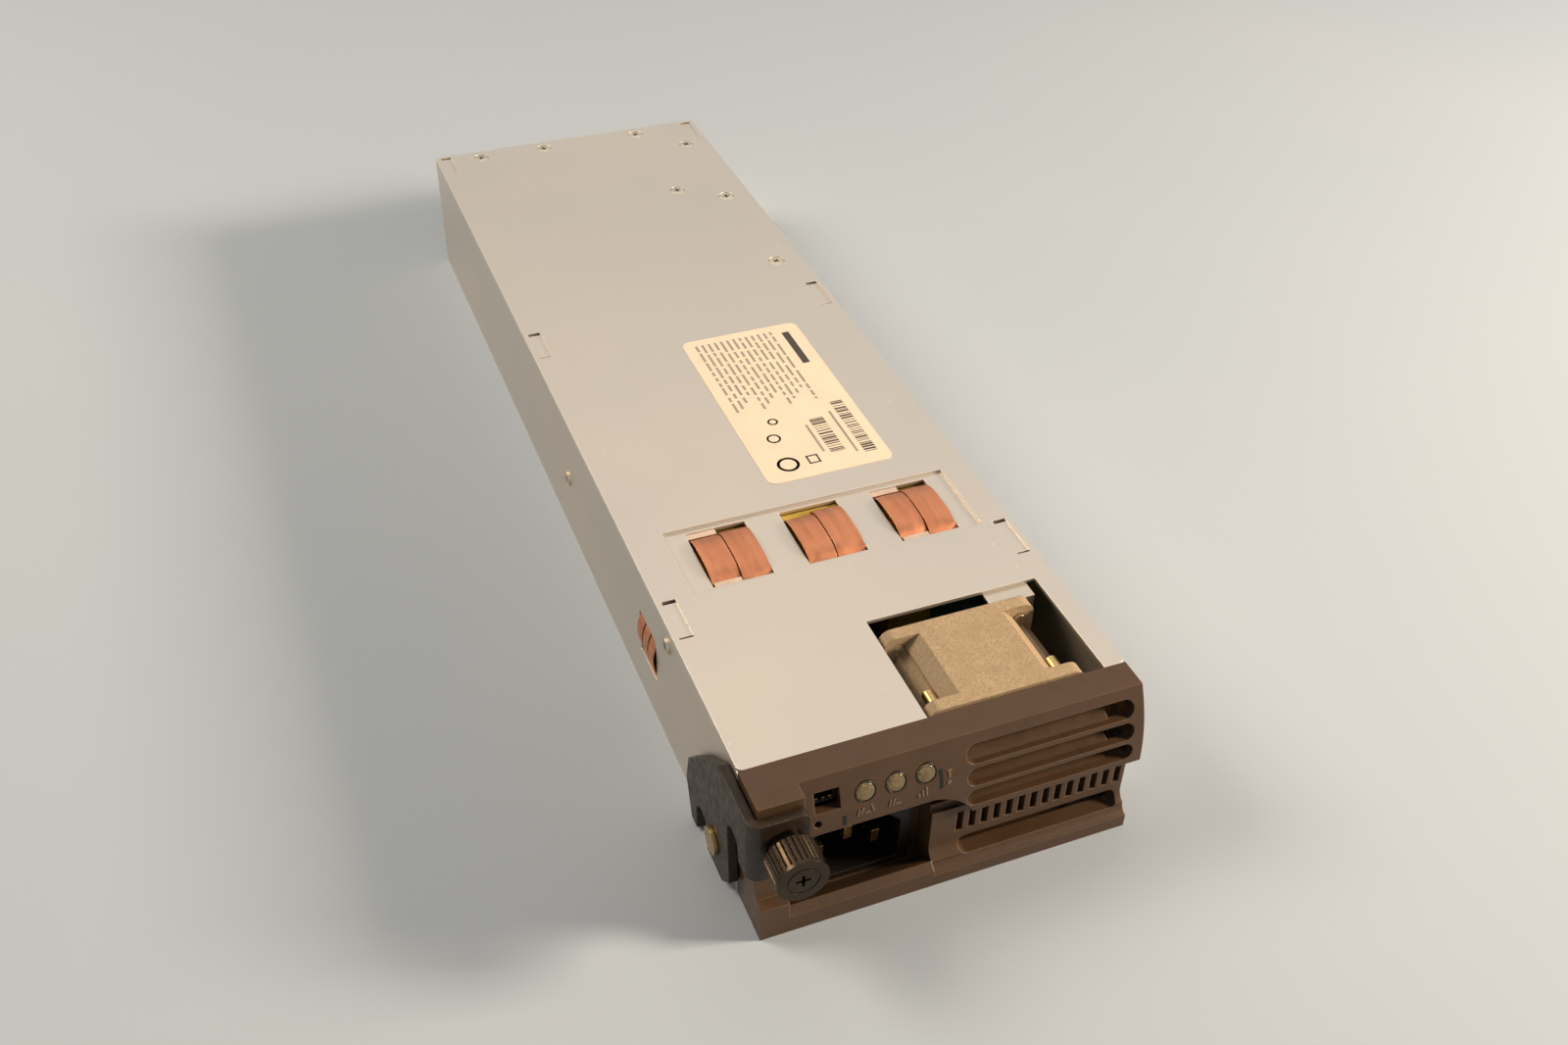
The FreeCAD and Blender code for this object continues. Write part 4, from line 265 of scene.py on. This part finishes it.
DUSTY = dusty("dusty_plastic", (0.44, 0.325, 0.205), (0.52, 0.39, 0.25), 0.62)
ROTOR = dusty("rotor_plastic", (0.055, 0.045, 0.036), (0.12, 0.095, 0.07), 0.5)
MAGNET = plain_metal("magnet", (0.10, 0.10, 0.105), 0.5)
ALUMINIUM = plain_metal("aluminium", (0.62, 0.61, 0.60), 0.32)
CAN = moulded("can_sleeve", (0.018, 0.022, 0.055), (0.05, 0.06, 0.12), 0.25)
WINDING = copper("winding_wire", (0.50, 0.17, 0.06), (0.30, 0.09, 0.03), 0.35)
FERRITE = moulded("ferrite", (0.035, 0.034, 0.036), (0.09, 0.088, 0.085), 0.5)
YELLOW = moulded("yellow_plastic", (0.62, 0.40, 0.05), (0.75, 0.55, 0.12), 0.3)
INK = moulded("label_ink", (0.055, 0.048, 0.040), (0.08, 0.07, 0.06), 0.5, 0.002 * MM)
FADED_INK = moulded("label_faded_ink", (0.34, 0.31, 0.27), (0.38, 0.35, 0.30), 0.5, 0.002 * MM)
CHIP = moulded("light_chip", (0.20, 0.145, 0.065), (0.34, 0.26, 0.13), 0.35, 0.004 * MM)
# a paler bezel tone for the small raised signs
BEZEL_PALE = moulded("bezel_pale", (0.15, 0.092, 0.052), (0.28, 0.18, 0.11), 0.36, 0.01 * MM)

LOOKS = {
    "base_chassis": STEEL, "top_cover": STEEL, "ground_clip_1": COPPER, "ground_clip_2": COPPER,
    "ground_clip_3": COPPER, "ground_clip_left": COPPER, "ground_clip_right": COPPER, "insulator_sheet": FILM,
    "rating_label": LABEL, "cover_screws": SCREW, "side_screws": SCREW, "front_bezel": BEZEL,
    "indicator_lens_1": LENS, "indicator_lens_2": LENS, "indicator_lens_3": LENS, "indicator_board": BOARD,
    "indicator_lights": WHITE, "service_header": BLACK, "service_contacts": GILT, "lock_insert": BRASS,
    "inlet_housing": BLACK, "inlet_pins": GILT, "ejector_lever": PAINT, "pivot_rivet": BRASS,
    "screw_ferrule": NICKEL, "retaining_ring": SCREW, "thumbscrew_knob": KNOB, "thumbscrew_shank": SCREW,
    "fan_frame": DUSTY, "fan_impeller": ROTOR, "fan_magnet": MAGNET, "fan_shaft": SCREW,
    "fan_bearings": BRASS,
    "fan_stator": WINDING, "fan_screws": BRASS, "fan_bracket": INNER_STEEL, "fan_bracket_screw": SCREW,
    "main_board": BOARD, "board_standoffs": BRASS, "board_screws": SCREW, "heatsink_left": ALUMINIUM,
    "heatsink_right": ALUMINIUM, "transistors_left": BLACK, "transistors_right": BLACK,
    "bulk_capacitor_1": CAN,
    "bulk_capacitor_2": CAN, "output_capacitors": CAN, "choke_base": WHITE, "choke_winding": WINDING,
    "transformer_core": FERRITE, "transformer_winding": WINDING, "transformer_bobbin": BLACK,
    "filter_choke": WHITE, "film_capacitors": YELLOW, "output_choke": FERRITE, "control_board": BOARD,
    "output_connector": BLACK, "output_contacts": GILT,
}
for label, look in LOOKS.items():
    piece = NODES[label]
    piece.data.materials.clear()
    piece.data.materials.append(look)


# ---- mesh pieces -------------------------------------------------------------------------------------

def made(name, shape, look, body, slot):
    """A finished piece from a bmesh, riding on a body."""
    mesh = bpy.data.meshes.new(name)
    bmesh.ops.recalc_face_normals(shape, faces=shape.faces)
    shape.to_mesh(mesh)
    shape.free()
    mesh.materials.append(look)
    piece = bpy.data.objects.new(name, mesh)
    bpy.context.scene.collection.objects.link(piece)
    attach(piece, body)
    return piece


def add_box(shape, low, high, bevel=0.0):
    start = bmesh.ops.create_cube(shape, size=1.0)["verts"]
    middle = (Vector(low) + Vector(high)) / 2
    size = Vector(high) - Vector(low)
    bmesh.ops.scale(shape, vec=size, verts=start)
    bmesh.ops.translate(shape, vec=middle, verts=start)
    if bevel:
        edges = list({edge for vert in start for edge in vert.link_edges})
        bmesh.ops.bevel(shape, geom=edges, offset=bevel, segments=1, affect="EDGES")


# ---- label print: plain rules and bars ---------------------------------------------------------------

LABEL_LOW, LABEL_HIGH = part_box("rating_label")
INK_TOP = LABEL_HIGH.z + 0.02 * MM


def bar(shape, x0, y0, x1, y1):
    """An ink bar, in millimetres from the label's front left corner."""
    add_box(shape, (LABEL_LOW.x + x0 * MM, LABEL_LOW.y + y0 * MM, LABEL_HIGH.z - 0.01 * MM),
            (LABEL_LOW.x + x1 * MM, LABEL_LOW.y + y1 * MM, INK_TOP))


def label_rows():
    dark, faded = bmesh.new(), bmesh.new()
    draw = random.Random(7)
    bar(dark, 30.4, 51.0, 32.6, 68.5)
    for row in range(13):
        x = 3.4 + row * 1.95
        y = 70.0
        stop = 33.0 + (row % 4) * 2.2
        while y > stop:
            length = draw.uniform(1.6, 6.5)
            bar(faded, x, max(stop, y - length), x + 0.75, y)
            y -= length + draw.uniform(0.7, 1.5)
    for x0, x1, y_start, y_end in ((29.8, 33.4, 5.0, 30.0), (21.0, 25.2, 8.0, 24.0)):
        y = y_start
        while y < y_end:
            width = draw.choice((0.25, 0.4, 0.7))
            bar(dark, x0, y, x1, y + width)
            y += width + draw.choice((0.3, 0.45, 0.8))
    for x0, x1, y0, y1 in ((27.6, 28.3, 6.0, 26.0), (19.0, 19.7, 9.0, 22.0)):
        bar(faded, x0, y0, x1, y1)
    made("label_bars", dark, INK, "case", "label")
    made("label_rows", faded, FADED_INK, "case", "label")


def label_rings():
    """Plain rings and one square in the places of the approval marks."""
    shape = bmesh.new()
    for x, y, outer, inner in ((8.0, 6.8, 3.1, 2.3), (8.6, 19.0, 2.0, 1.45), (11.2, 26.5, 1.5, 1.0)):
        middle = Vector((LABEL_LOW.x + x * MM, LABEL_LOW.y + y * MM, INK_TOP))
        ring_verts = []
        steps = RING_STEPS
        for step in range(steps):
            turn = Vector((math.cos(step * math.tau / steps), math.sin(step * math.tau / steps), 0))
            outside = shape.verts.new(middle + turn * outer * MM)
            inside = shape.verts.new(middle + turn * inner * MM)
            ring_verts.append((outside, inside))
        for step in range(steps):
            here, there = ring_verts[step], ring_verts[(step + 1) % steps]
            shape.faces.new((here[0], there[0], there[1], here[1]))
    bmesh.ops.solidify(shape, geom=shape.faces[:], thickness=0.02 * MM)
    square = ((13.6, 5.0, 17.0, 5.5), (13.6, 8.2, 17.0, 8.7), (13.6, 5.0, 14.1, 8.7), (16.5, 5.0, 17.0, 8.7))
    for x0, y0, x1, y1 in square:
        bar(shape, x0, y0, x1, y1)
    made("label_marks", shape, INK, "case", "label")


label_rows()
label_rings()


# ---- small turned and pressed pieces -----------------------------------------------------------------

def turned(shape, base, axis, profile, steps=RING_STEPS):
    """Revolves a profile of (along, radius) in metres about the axis through base."""
    axis = Vector(axis).normalized()
    side = axis.orthogonal().normalized()
    other = axis.cross(side)
    rings = []
    for along, radius in profile:
        middle = Vector(base) + axis * along
        if radius == 0:
            rings.append([shape.verts.new(middle)])
            continue
        ring = []
        for step in range(steps):
            turn = step * math.tau / steps
            ring.append(shape.verts.new(middle + (side * math.cos(turn) + other * math.sin(turn)) * radius))
        rings.append(ring)
    for near, far in zip(rings, rings[1:]):
        for step in range(steps):
            nxt = (step + 1) % steps
            if len(near) == 1:
                corners = (near[0], far[step], far[nxt])
            elif len(far) == 1:
                corners = (near[step], near[nxt], far[0])
            else:
                corners = (near[step], near[nxt], far[nxt], far[step])
            shape.faces.new(corners)


def smooth(piece):
    for face in piece.data.polygons:
        face.use_smooth = True
    piece.data.set_sharp_from_angle(angle=CREASE)


SHELL_TREE = BVHTree.FromObject(NODES["front_bezel"], bpy.context.evaluated_depsgraph_get())


def on_shell(x, z):
    """Where the bezel's face is at x and z, in metres, with its outward direction."""
    place, normal, _, _ = SHELL_TREE.ray_cast(Vector((x, AHEAD_OF_FACE, z)), Vector((0, 1, 0)))
    return place, normal


def lens_group(number):
    """A domed clear button in a dark ring that is painted shade for the gap round it, with the pale light
    chip seen through it.
    """
    label = f"indicator_lens_{number}"
    low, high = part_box(label)
    radius = (high.x - low.x) / 2
    x, z = (low.x + high.x) / 2, (low.z + high.z) / 2
    left, tilt = on_shell(x - radius - MM, z)
    right, _ = on_shell(x + radius + MM, z)
    middle = (left + right) / 2 - tilt * 0.25 * MM
    dome = bmesh.new()
    crown = [(0.0, 0.0), (0.0, radius * 0.90)]
    for step in range(1, 9):
        turn = step * math.pi / 16
        crown.append((0.1 * MM + math.sin(turn) * 0.75 * MM, radius * 0.90 * math.cos(turn)))
    crown[-1] = (crown[-1][0], 0.0)
    turned(dome, middle, tilt, crown)
    lens = made(f"lens_dome_{number}", dome, LENS, "case", "lens")
    smooth(lens)
    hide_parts(label)
    # painted shade: the black ring stands for the shaded gap round the lens
    rim = bmesh.new()
    turned(rim, middle, tilt, [
        (-0.6 * MM, radius * 0.90), (0.25 * MM, radius * 0.92), (0.42 * MM, radius * 0.97),
        (0.3 * MM, radius * 1.04), (-0.6 * MM, radius * 1.04), (-0.6 * MM, radius * 0.90)])
    ring = made(f"lens_gap_shade_{number}", rim, BLACK, "case", "black_plastic")
    smooth(ring)
    core = bmesh.new()
    turned(core, middle, tilt, [(-0.75 * MM, 0.0), (-0.75 * MM, radius * 0.88), (-0.55 * MM, radius * 0.86),
                                (-0.5 * MM, radius * 0.45), (-0.15 * MM, radius * 0.36), (-0.1 * MM, 0.0)])
    chip = made(f"lens_chip_{number}", core, CHIP, "case", "white_plastic")
    smooth(chip)


for lens_number in (1, 2, 3):
    lens_group(lens_number)


def raised(shape, x, z, width, height, lean=0.0, relief=0.16):
    """A small raised bar on the shell's face, in millimetres, leaning by so much at its top."""
    corners = [(-width / 2 - lean / 2, -height / 2), (width / 2 - lean / 2, -height / 2),
               (width / 2 + lean / 2, height / 2), (-width / 2 + lean / 2, height / 2)]
    inner, outer = [], []
    for across, up in corners:
        place, normal = on_shell((x + across) * MM, (z + up) * MM)
        inner.append(shape.verts.new(place - normal * 0.1 * MM))
        outer.append(shape.verts.new(place + normal * relief * MM))
    shape.faces.new(outer)
    shape.faces.new(list(reversed(inner)))
    for step in range(4):
        nxt = (step + 1) % 4
        shape.faces.new((inner[step], inner[nxt], outer[nxt], outer[step]))


def face_marks():
    """Plain raised strokes under the lights and a tall one at their right: signs that say nothing. The dark
    bars are painted shade where slots lie.
    """
    low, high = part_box("indicator_lens_1")
    level = (low.z + high.z) / 2 / MM - 4.6
    first = (low.x + high.x) / 2 / MM
    light, dark = bmesh.new(), bmesh.new()
    for across, up, width, height, lean in (
            (-2.0, -0.2, 0.5, 1.5, 0.6), (-1.1, 0.1, 0.5, 1.5, 0.6), (0.1, -0.5, 1.3, 0.4, 0.0),
            (1.4, 0.2, 0.4, 1.6, -0.5), (5.6, 0.0, 0.4, 1.7, 0.5), (6.4, 0.0, 0.4, 1.7, 0.5),
            (7.4, -0.5, 1.2, 0.4, 0.0), (12.6, -0.4, 0.5, 1.1, 0.0), (13.5, -0.1, 0.5, 1.7, 0.0),
            (14.4, 0.2, 0.5, 2.3, 0.0)):
        raised(light, first + across, level + up, width, height, lean)
    tall = first + 18.2
    # painted shade: a tall dark bar where a slot lies in shade
    raised(dark, tall, level + 2.2, 1.0, 4.8, 0.0, 0.1)
    raised(light, tall + 1.9, level + 3.9, 1.3, 0.4)
    raised(light, tall + 1.9, level + 2.9, 0.5, 1.6)
    raised(light, tall + 1.7, level + 0.9, 0.9, 0.9, 0.3)
    # painted shade: a dark bar for the slot left of the lights
    raised(dark, first - 5.2, level - 1.0, 0.9, 2.4, 0.0, 0.1)
    made("face_marks_light", light, BEZEL_PALE, "case", "bezel")
    made("face_slot_shade", dark, BLACK, "case", "bezel")


face_marks()


# ---- ground clips ------------------------------------------------------------------------------------

def strip(shape, points, left, right, gauge, crown):
    """A bent strip: points are (y, z) of its upper side; crown lifts its middle."""
    rows = 6
    sheets = []
    for down in (0.0, gauge):
        sheet = []
        for y, z in points:
            row = []
            for step in range(rows + 1):
                part = step / rows
                lift = crown * (1 - (2 * part - 1) ** 2)
                row.append(shape.verts.new((left + (right - left) * part, y, z + lift - down)))
            sheet.append(row)
        sheets.append(sheet)
    upper, lower = sheets
    last = len(points) - 1
    for line in range(last):
        for step in range(rows):
            for sheet in sheets:
                shape.faces.new((sheet[line][step], sheet[line + 1][step],
                                 sheet[line + 1][step + 1], sheet[line][step + 1]))
        for step in (0, rows):
            shape.faces.new((upper[line][step], upper[line + 1][step],
                             lower[line + 1][step], lower[line][step]))
    for line in (0, last):
        for step in range(rows):
            shape.faces.new((upper[line][step], upper[line][step + 1],
                             lower[line][step + 1], lower[line][step]))


def arch(front, back, top, base, steps=22):
    """A flat-topped arch from front to back along Y, falling steeply at both ends."""
    points = []
    for step in range(steps + 1):
        part = step / steps
        rise = max(0.0, 1 - abs(2 * part - 1) ** 3.4) ** 0.8
        points.append((front + (back - front) * part, base + (top - base) * rise))
    return points


def top_clip(number):
    """Two copper fingers over a window; the outer windows show the left finger's flat pale lips."""
    label = f"ground_clip_{number}"
    low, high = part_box(label)
    foot = 2.35 * MM
    front, back = low.y + foot, high.y - foot
    top = high.z
    base = low.z + 0.35 * MM
    lip = top - 1.85 * MM
    middle = (low.x + high.x) / 2
    slit = 0.16 * MM
    lips = number != 2
    shape = bmesh.new()
    ahead, behind = (1.7, 2.0) if lips else (0.8, 2.6)
    left = arch(front + ahead * MM, back - behind * MM, top - 0.16 * MM, base)
    strip(shape, left, low.x + 0.2 * MM, middle - slit, 0.3 * MM, 0.06 * MM)
    right = arch(front + 0.7 * MM, back - 1.4 * MM, top - 0.1 * MM, base)
    strip(shape, right, middle + slit, high.x - 0.1 * MM, 0.3 * MM, 0.05 * MM)
    piece = made(f"clip_fingers_{number}", shape, COPPER, "case", "copper")
    smooth(piece)
    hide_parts(label)
    plates = bmesh.new()
    if lips:
        spans = ((low.x + 0.5 * MM, front + 0.1 * MM, front + 1.75 * MM),
                 (low.x - 0.2 * MM, back - 2.1 * MM, back - 0.1 * MM))
        for start, near, far in spans:
            add_box(plates, (start, near, lip - 0.3 * MM), (middle - slit, far, lip), 0.08 * MM)
        made(f"clip_lips_{number}", plates, PALE_COPPER, "case", "copper")
    else:
        for near, far in ((front + 0.2 * MM, front + 1.5 * MM), (back - 3.4 * MM, back - 0.1 * MM)):
            add_box(plates, (low.x, near, lip - 1.3 * MM), (high.x, far, lip - 1.0 * MM), 0.08 * MM)
        made("film_edge", plates, AMBER, "case", "film")


for clip_number in (1, 2, 3):
    top_clip(clip_number)


# ---- screw heads -------------------------------------------------------------------------------------

def islands(label, along):
    """The box of each separate piece of a node, told apart by where it lies across the axis along."""
    mesh = NODES[label].data
    group = list(range(len(mesh.vertices)))

    def root(item):
        while group[item] != item:
            group[item] = group[group[item]]
            item = group[item]
        return item

    for edge in mesh.edges:
        first, second = root(edge.vertices[0]), root(edge.vertices[1])
        group[first] = second
    found = {}
    for vert in mesh.vertices:
        found.setdefault(root(vert.index), []).append(vert.co)
    boxes = []
    for places in found.values():
        low = Vector([min(place[axis] for place in places) for axis in range(3)])
        high = Vector([max(place[axis] for place in places) for axis in range(3)])
        middle = (low + high) / 2
        for known in boxes:
            apart = (known[0] + known[1]) / 2 - middle
            if along == 0 and (known[0].x < 0) != (low.x < 0):
                continue
            apart[along] = 0
            if apart.length < MM:
                for axis in range(3):
                    known[0][axis] = min(known[0][axis], low[axis])
                    known[1][axis] = max(known[1][axis], high[axis])
                break
        else:
            boxes.append((low, high))
    return sorted(boxes, key=lambda pair: (round(pair[0].x, 5), round(pair[0].y, 5)))


def pan_head(shape, base, axis, radius, height):
    """A low pan head: rim, rounded shoulder and a flat crown."""
    turned(shape, base, axis, [
        (-0.3 * height, 0.0), (-0.3 * height, radius * 0.98), (height * 0.45, radius),
        (height * 0.8, radius * 0.9), (height, radius * 0.62), (height, 0.0)], HEAD_STEPS)


def recess(shape, base, axis, reach, width, depth, turn):
    """The cross recess as painted shade: two thin dark bars that cross, standing just proud of the crown."""
    axis = Vector(axis).normalized()
    side = axis.orthogonal().normalized()
    side = Matrix.Rotation(turn, 3, axis) @ side
    other = axis.cross(side)
    for along, across in ((side, other), (other, side)):
        corners = []
        for lift in (-depth, 0.03 * MM):
            for a, b in ((-reach, -width), (reach, -width), (reach, width), (-reach, width)):
                corners.append(shape.verts.new(Vector(base) + along * a + across * b + axis * lift))
        low, high = corners[:4], corners[4:]
        shape.faces.new(high)
        shape.faces.new(list(reversed(low)))
        for step in range(4):
            nxt = (step + 1) % 4
            shape.faces.new((low[step], low[nxt], high[nxt], high[step]))


def cover_heads():
    heads, slots = bmesh.new(), bmesh.new()
    for number, (low, high) in enumerate(islands("cover_screws", 2)):
        middle = Vector(((low.x + high.x) / 2, (low.y + high.y) / 2, high.z - 0.3 * MM))
        radius = (high.x - low.x) / 2
        pan_head(heads, middle, (0, 0, 1), radius, 0.3 * MM)
        recess(slots, middle + Vector((0, 0, 0.3 * MM)), (0, 0, 1), radius * 0.42, radius * 0.10, 0.1 * MM,
               0.35 + number * 0.7)
    piece = made("cover_heads", heads, SCREW, "case", "screw_steel")
    smooth(piece)
    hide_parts("cover_screws")
    # painted shade: the dark crosses stand for the shaded hollows of the cover screws' recesses
    made("cover_recess_shade", slots, BLACK, "case", "screw_steel")


def side_heads():
    slots = bmesh.new()
    for number, (low, high) in enumerate(islands("side_screws", 0)):
        left = low.x < 0
        out = Vector((-1, 0, 0)) if left else Vector((1, 0, 0))
        face = low.x if left else high.x
        middle = Vector((face, (low.y + high.y) / 2, (low.z + high.z) / 2)) - out * 0.02 * MM
        radius = (high.z - low.z) / 2
        recess(slots, middle, out, radius * 0.55, radius * 0.13, 0.2 * MM, 0.4 + number * 0.5)
    # painted shade: the dark crosses stand for the shaded hollows of the side screws' recesses
    made("side_recess_shade", slots, BLACK, "case", "screw_steel")


cover_heads()
side_heads()


# ---- stage, light and camera -------------------------------------------------------------------------

BACKDROP = (0.60, 0.615, 0.63)
FLOOR, FLOOR_PALE = (0.47, 0.555, 0.675), (0.50, 0.58, 0.695)
FLOOR_REACH = 3.0
FADE_FROM, FADE_TO = 0.45, 1.05
ROOM_LOW, ROOM_HIGH = (0.20, 0.195, 0.185), (0.13, 0.125, 0.118)
SENSOR_WIDTH, LENS_LENGTH, CLIP_START = 36.0, 35.94, 0.01


def background_rays(tree):
    """1 for the rays that see the plain background: camera, glossy and transmission rays."""
    path = node(tree, "ShaderNodeLightPath")
    seen = path.outputs["Is Camera Ray"]
    for ray in ("Is Glossy Ray", "Is Transmission Ray"):
        seen = node(tree, "ShaderNodeMath", {0: seen, 1: path.outputs[ray]},
                    operation="MAXIMUM").outputs["Value"]
    return seen


def floor():
    """Pale paper that passes into the backdrop's plain colour away from the part."""
    shape = bmesh.new()
    bmesh.ops.create_grid(shape, x_segments=1, y_segments=1, size=FLOOR_REACH)
    mesh = bpy.data.meshes.new("floor")
    shape.to_mesh(mesh)
    shape.free()
    material, tree, shader = new_material("floor_paper")
    tint = blend(tree, spread(tree, noise(tree, 3.0), 0.3, 0.7), FLOOR, FLOOR_PALE)
    tree.links.new(tint, shader.inputs["Base Color"])
    shader.inputs["Roughness"].default_value = 0.9
    place = node(tree, "ShaderNodeTexCoord").outputs["Object"]
    reach = node(tree, "ShaderNodeVectorMath", {0: place}, operation="LENGTH").outputs["Value"]
    far = spread(tree, reach, FADE_FROM, FADE_TO)
    share = node(tree, "ShaderNodeMath", {0: far, 1: background_rays(tree)},
                 operation="MULTIPLY").outputs["Value"]
    glow = node(tree, "ShaderNodeEmission", {"Color": (*BACKDROP, 1.0), "Strength": 1.0}).outputs["Emission"]
    mixed = node(tree, "ShaderNodeMixShader", {0: share, 1: shader.outputs["BSDF"], 2: glow})
    tree.links.new(mixed.outputs["Shader"], tree.nodes["Material Output"].inputs["Surface"])
    mesh.materials.append(material)
    piece = bpy.data.objects.new("floor", mesh)
    bpy.context.scene.collection.objects.link(piece)


def world():
    """A dim plain room that lights the part, with the backdrop's colour where a ray sees it."""
    sky = bpy.data.worlds.new("studio")
    bpy.context.scene.world = sky
    sky.use_nodes = True
    tree = sky.node_tree
    background = tree.nodes["Background"]
    place = node(tree, "ShaderNodeTexCoord").outputs["Generated"]
    up = node(tree, "ShaderNodeSeparateXYZ", {"Vector": place})
    height = spread(tree, up.outputs["Z"], -0.1, 0.9)
    room = blend(tree, height, ROOM_LOW, ROOM_HIGH)
    tree.links.new(blend(tree, background_rays(tree), room, BACKDROP), background.inputs["Color"])
    background.inputs["Strength"].default_value = 1.0


def lamp(name, place, aim, power, size, colour):
    data = bpy.data.lights.new(name, "AREA")
    data.energy = power
    data.size = size
    data.color = colour
    thing = bpy.data.objects.new(name, data)
    thing.location = place
    thing.rotation_euler = (Vector(aim) - Vector(place)).to_track_quat("-Z", "Y").to_euler()
    bpy.context.scene.collection.objects.link(thing)


def camera():
    data = bpy.data.cameras.new("camera")
    data.sensor_width = SENSOR_WIDTH
    data.lens = LENS_LENGTH
    data.clip_start = CLIP_START
    thing = bpy.data.objects.new("camera", data)
    right = Vector((0.92903, -0.36942, 0.02055))
    up = Vector((0.21845, 0.59248, 0.77540))
    back = Vector((-0.29863, -0.71589, 0.63113))
    turn = Matrix((right, up, back)).transposed().to_4x4()
    thing.matrix_world = Matrix.Translation((-0.1272, -0.3659, 0.2939)) @ turn
    bpy.context.scene.collection.objects.link(thing)
    bpy.context.scene.camera = thing


floor()
world()
lamp("key", (1.05, -0.52, 0.50), (0.0, -0.02, 0.0), 24.0, 0.25, (1.0, 0.80, 0.58))
lamp("side", (-0.75, 0.40, 0.85), (0.0, -0.05, 0.0), 9.0, 0.5, (1.0, 0.82, 0.60))
lamp("sheen", (0.50, 0.75, 1.35), (0.0, -0.10, 0.0), 3.3, 1.35, (1.0, 0.85, 0.68))
camera()
bpy.context.scene.view_settings.view_transform = "Standard"
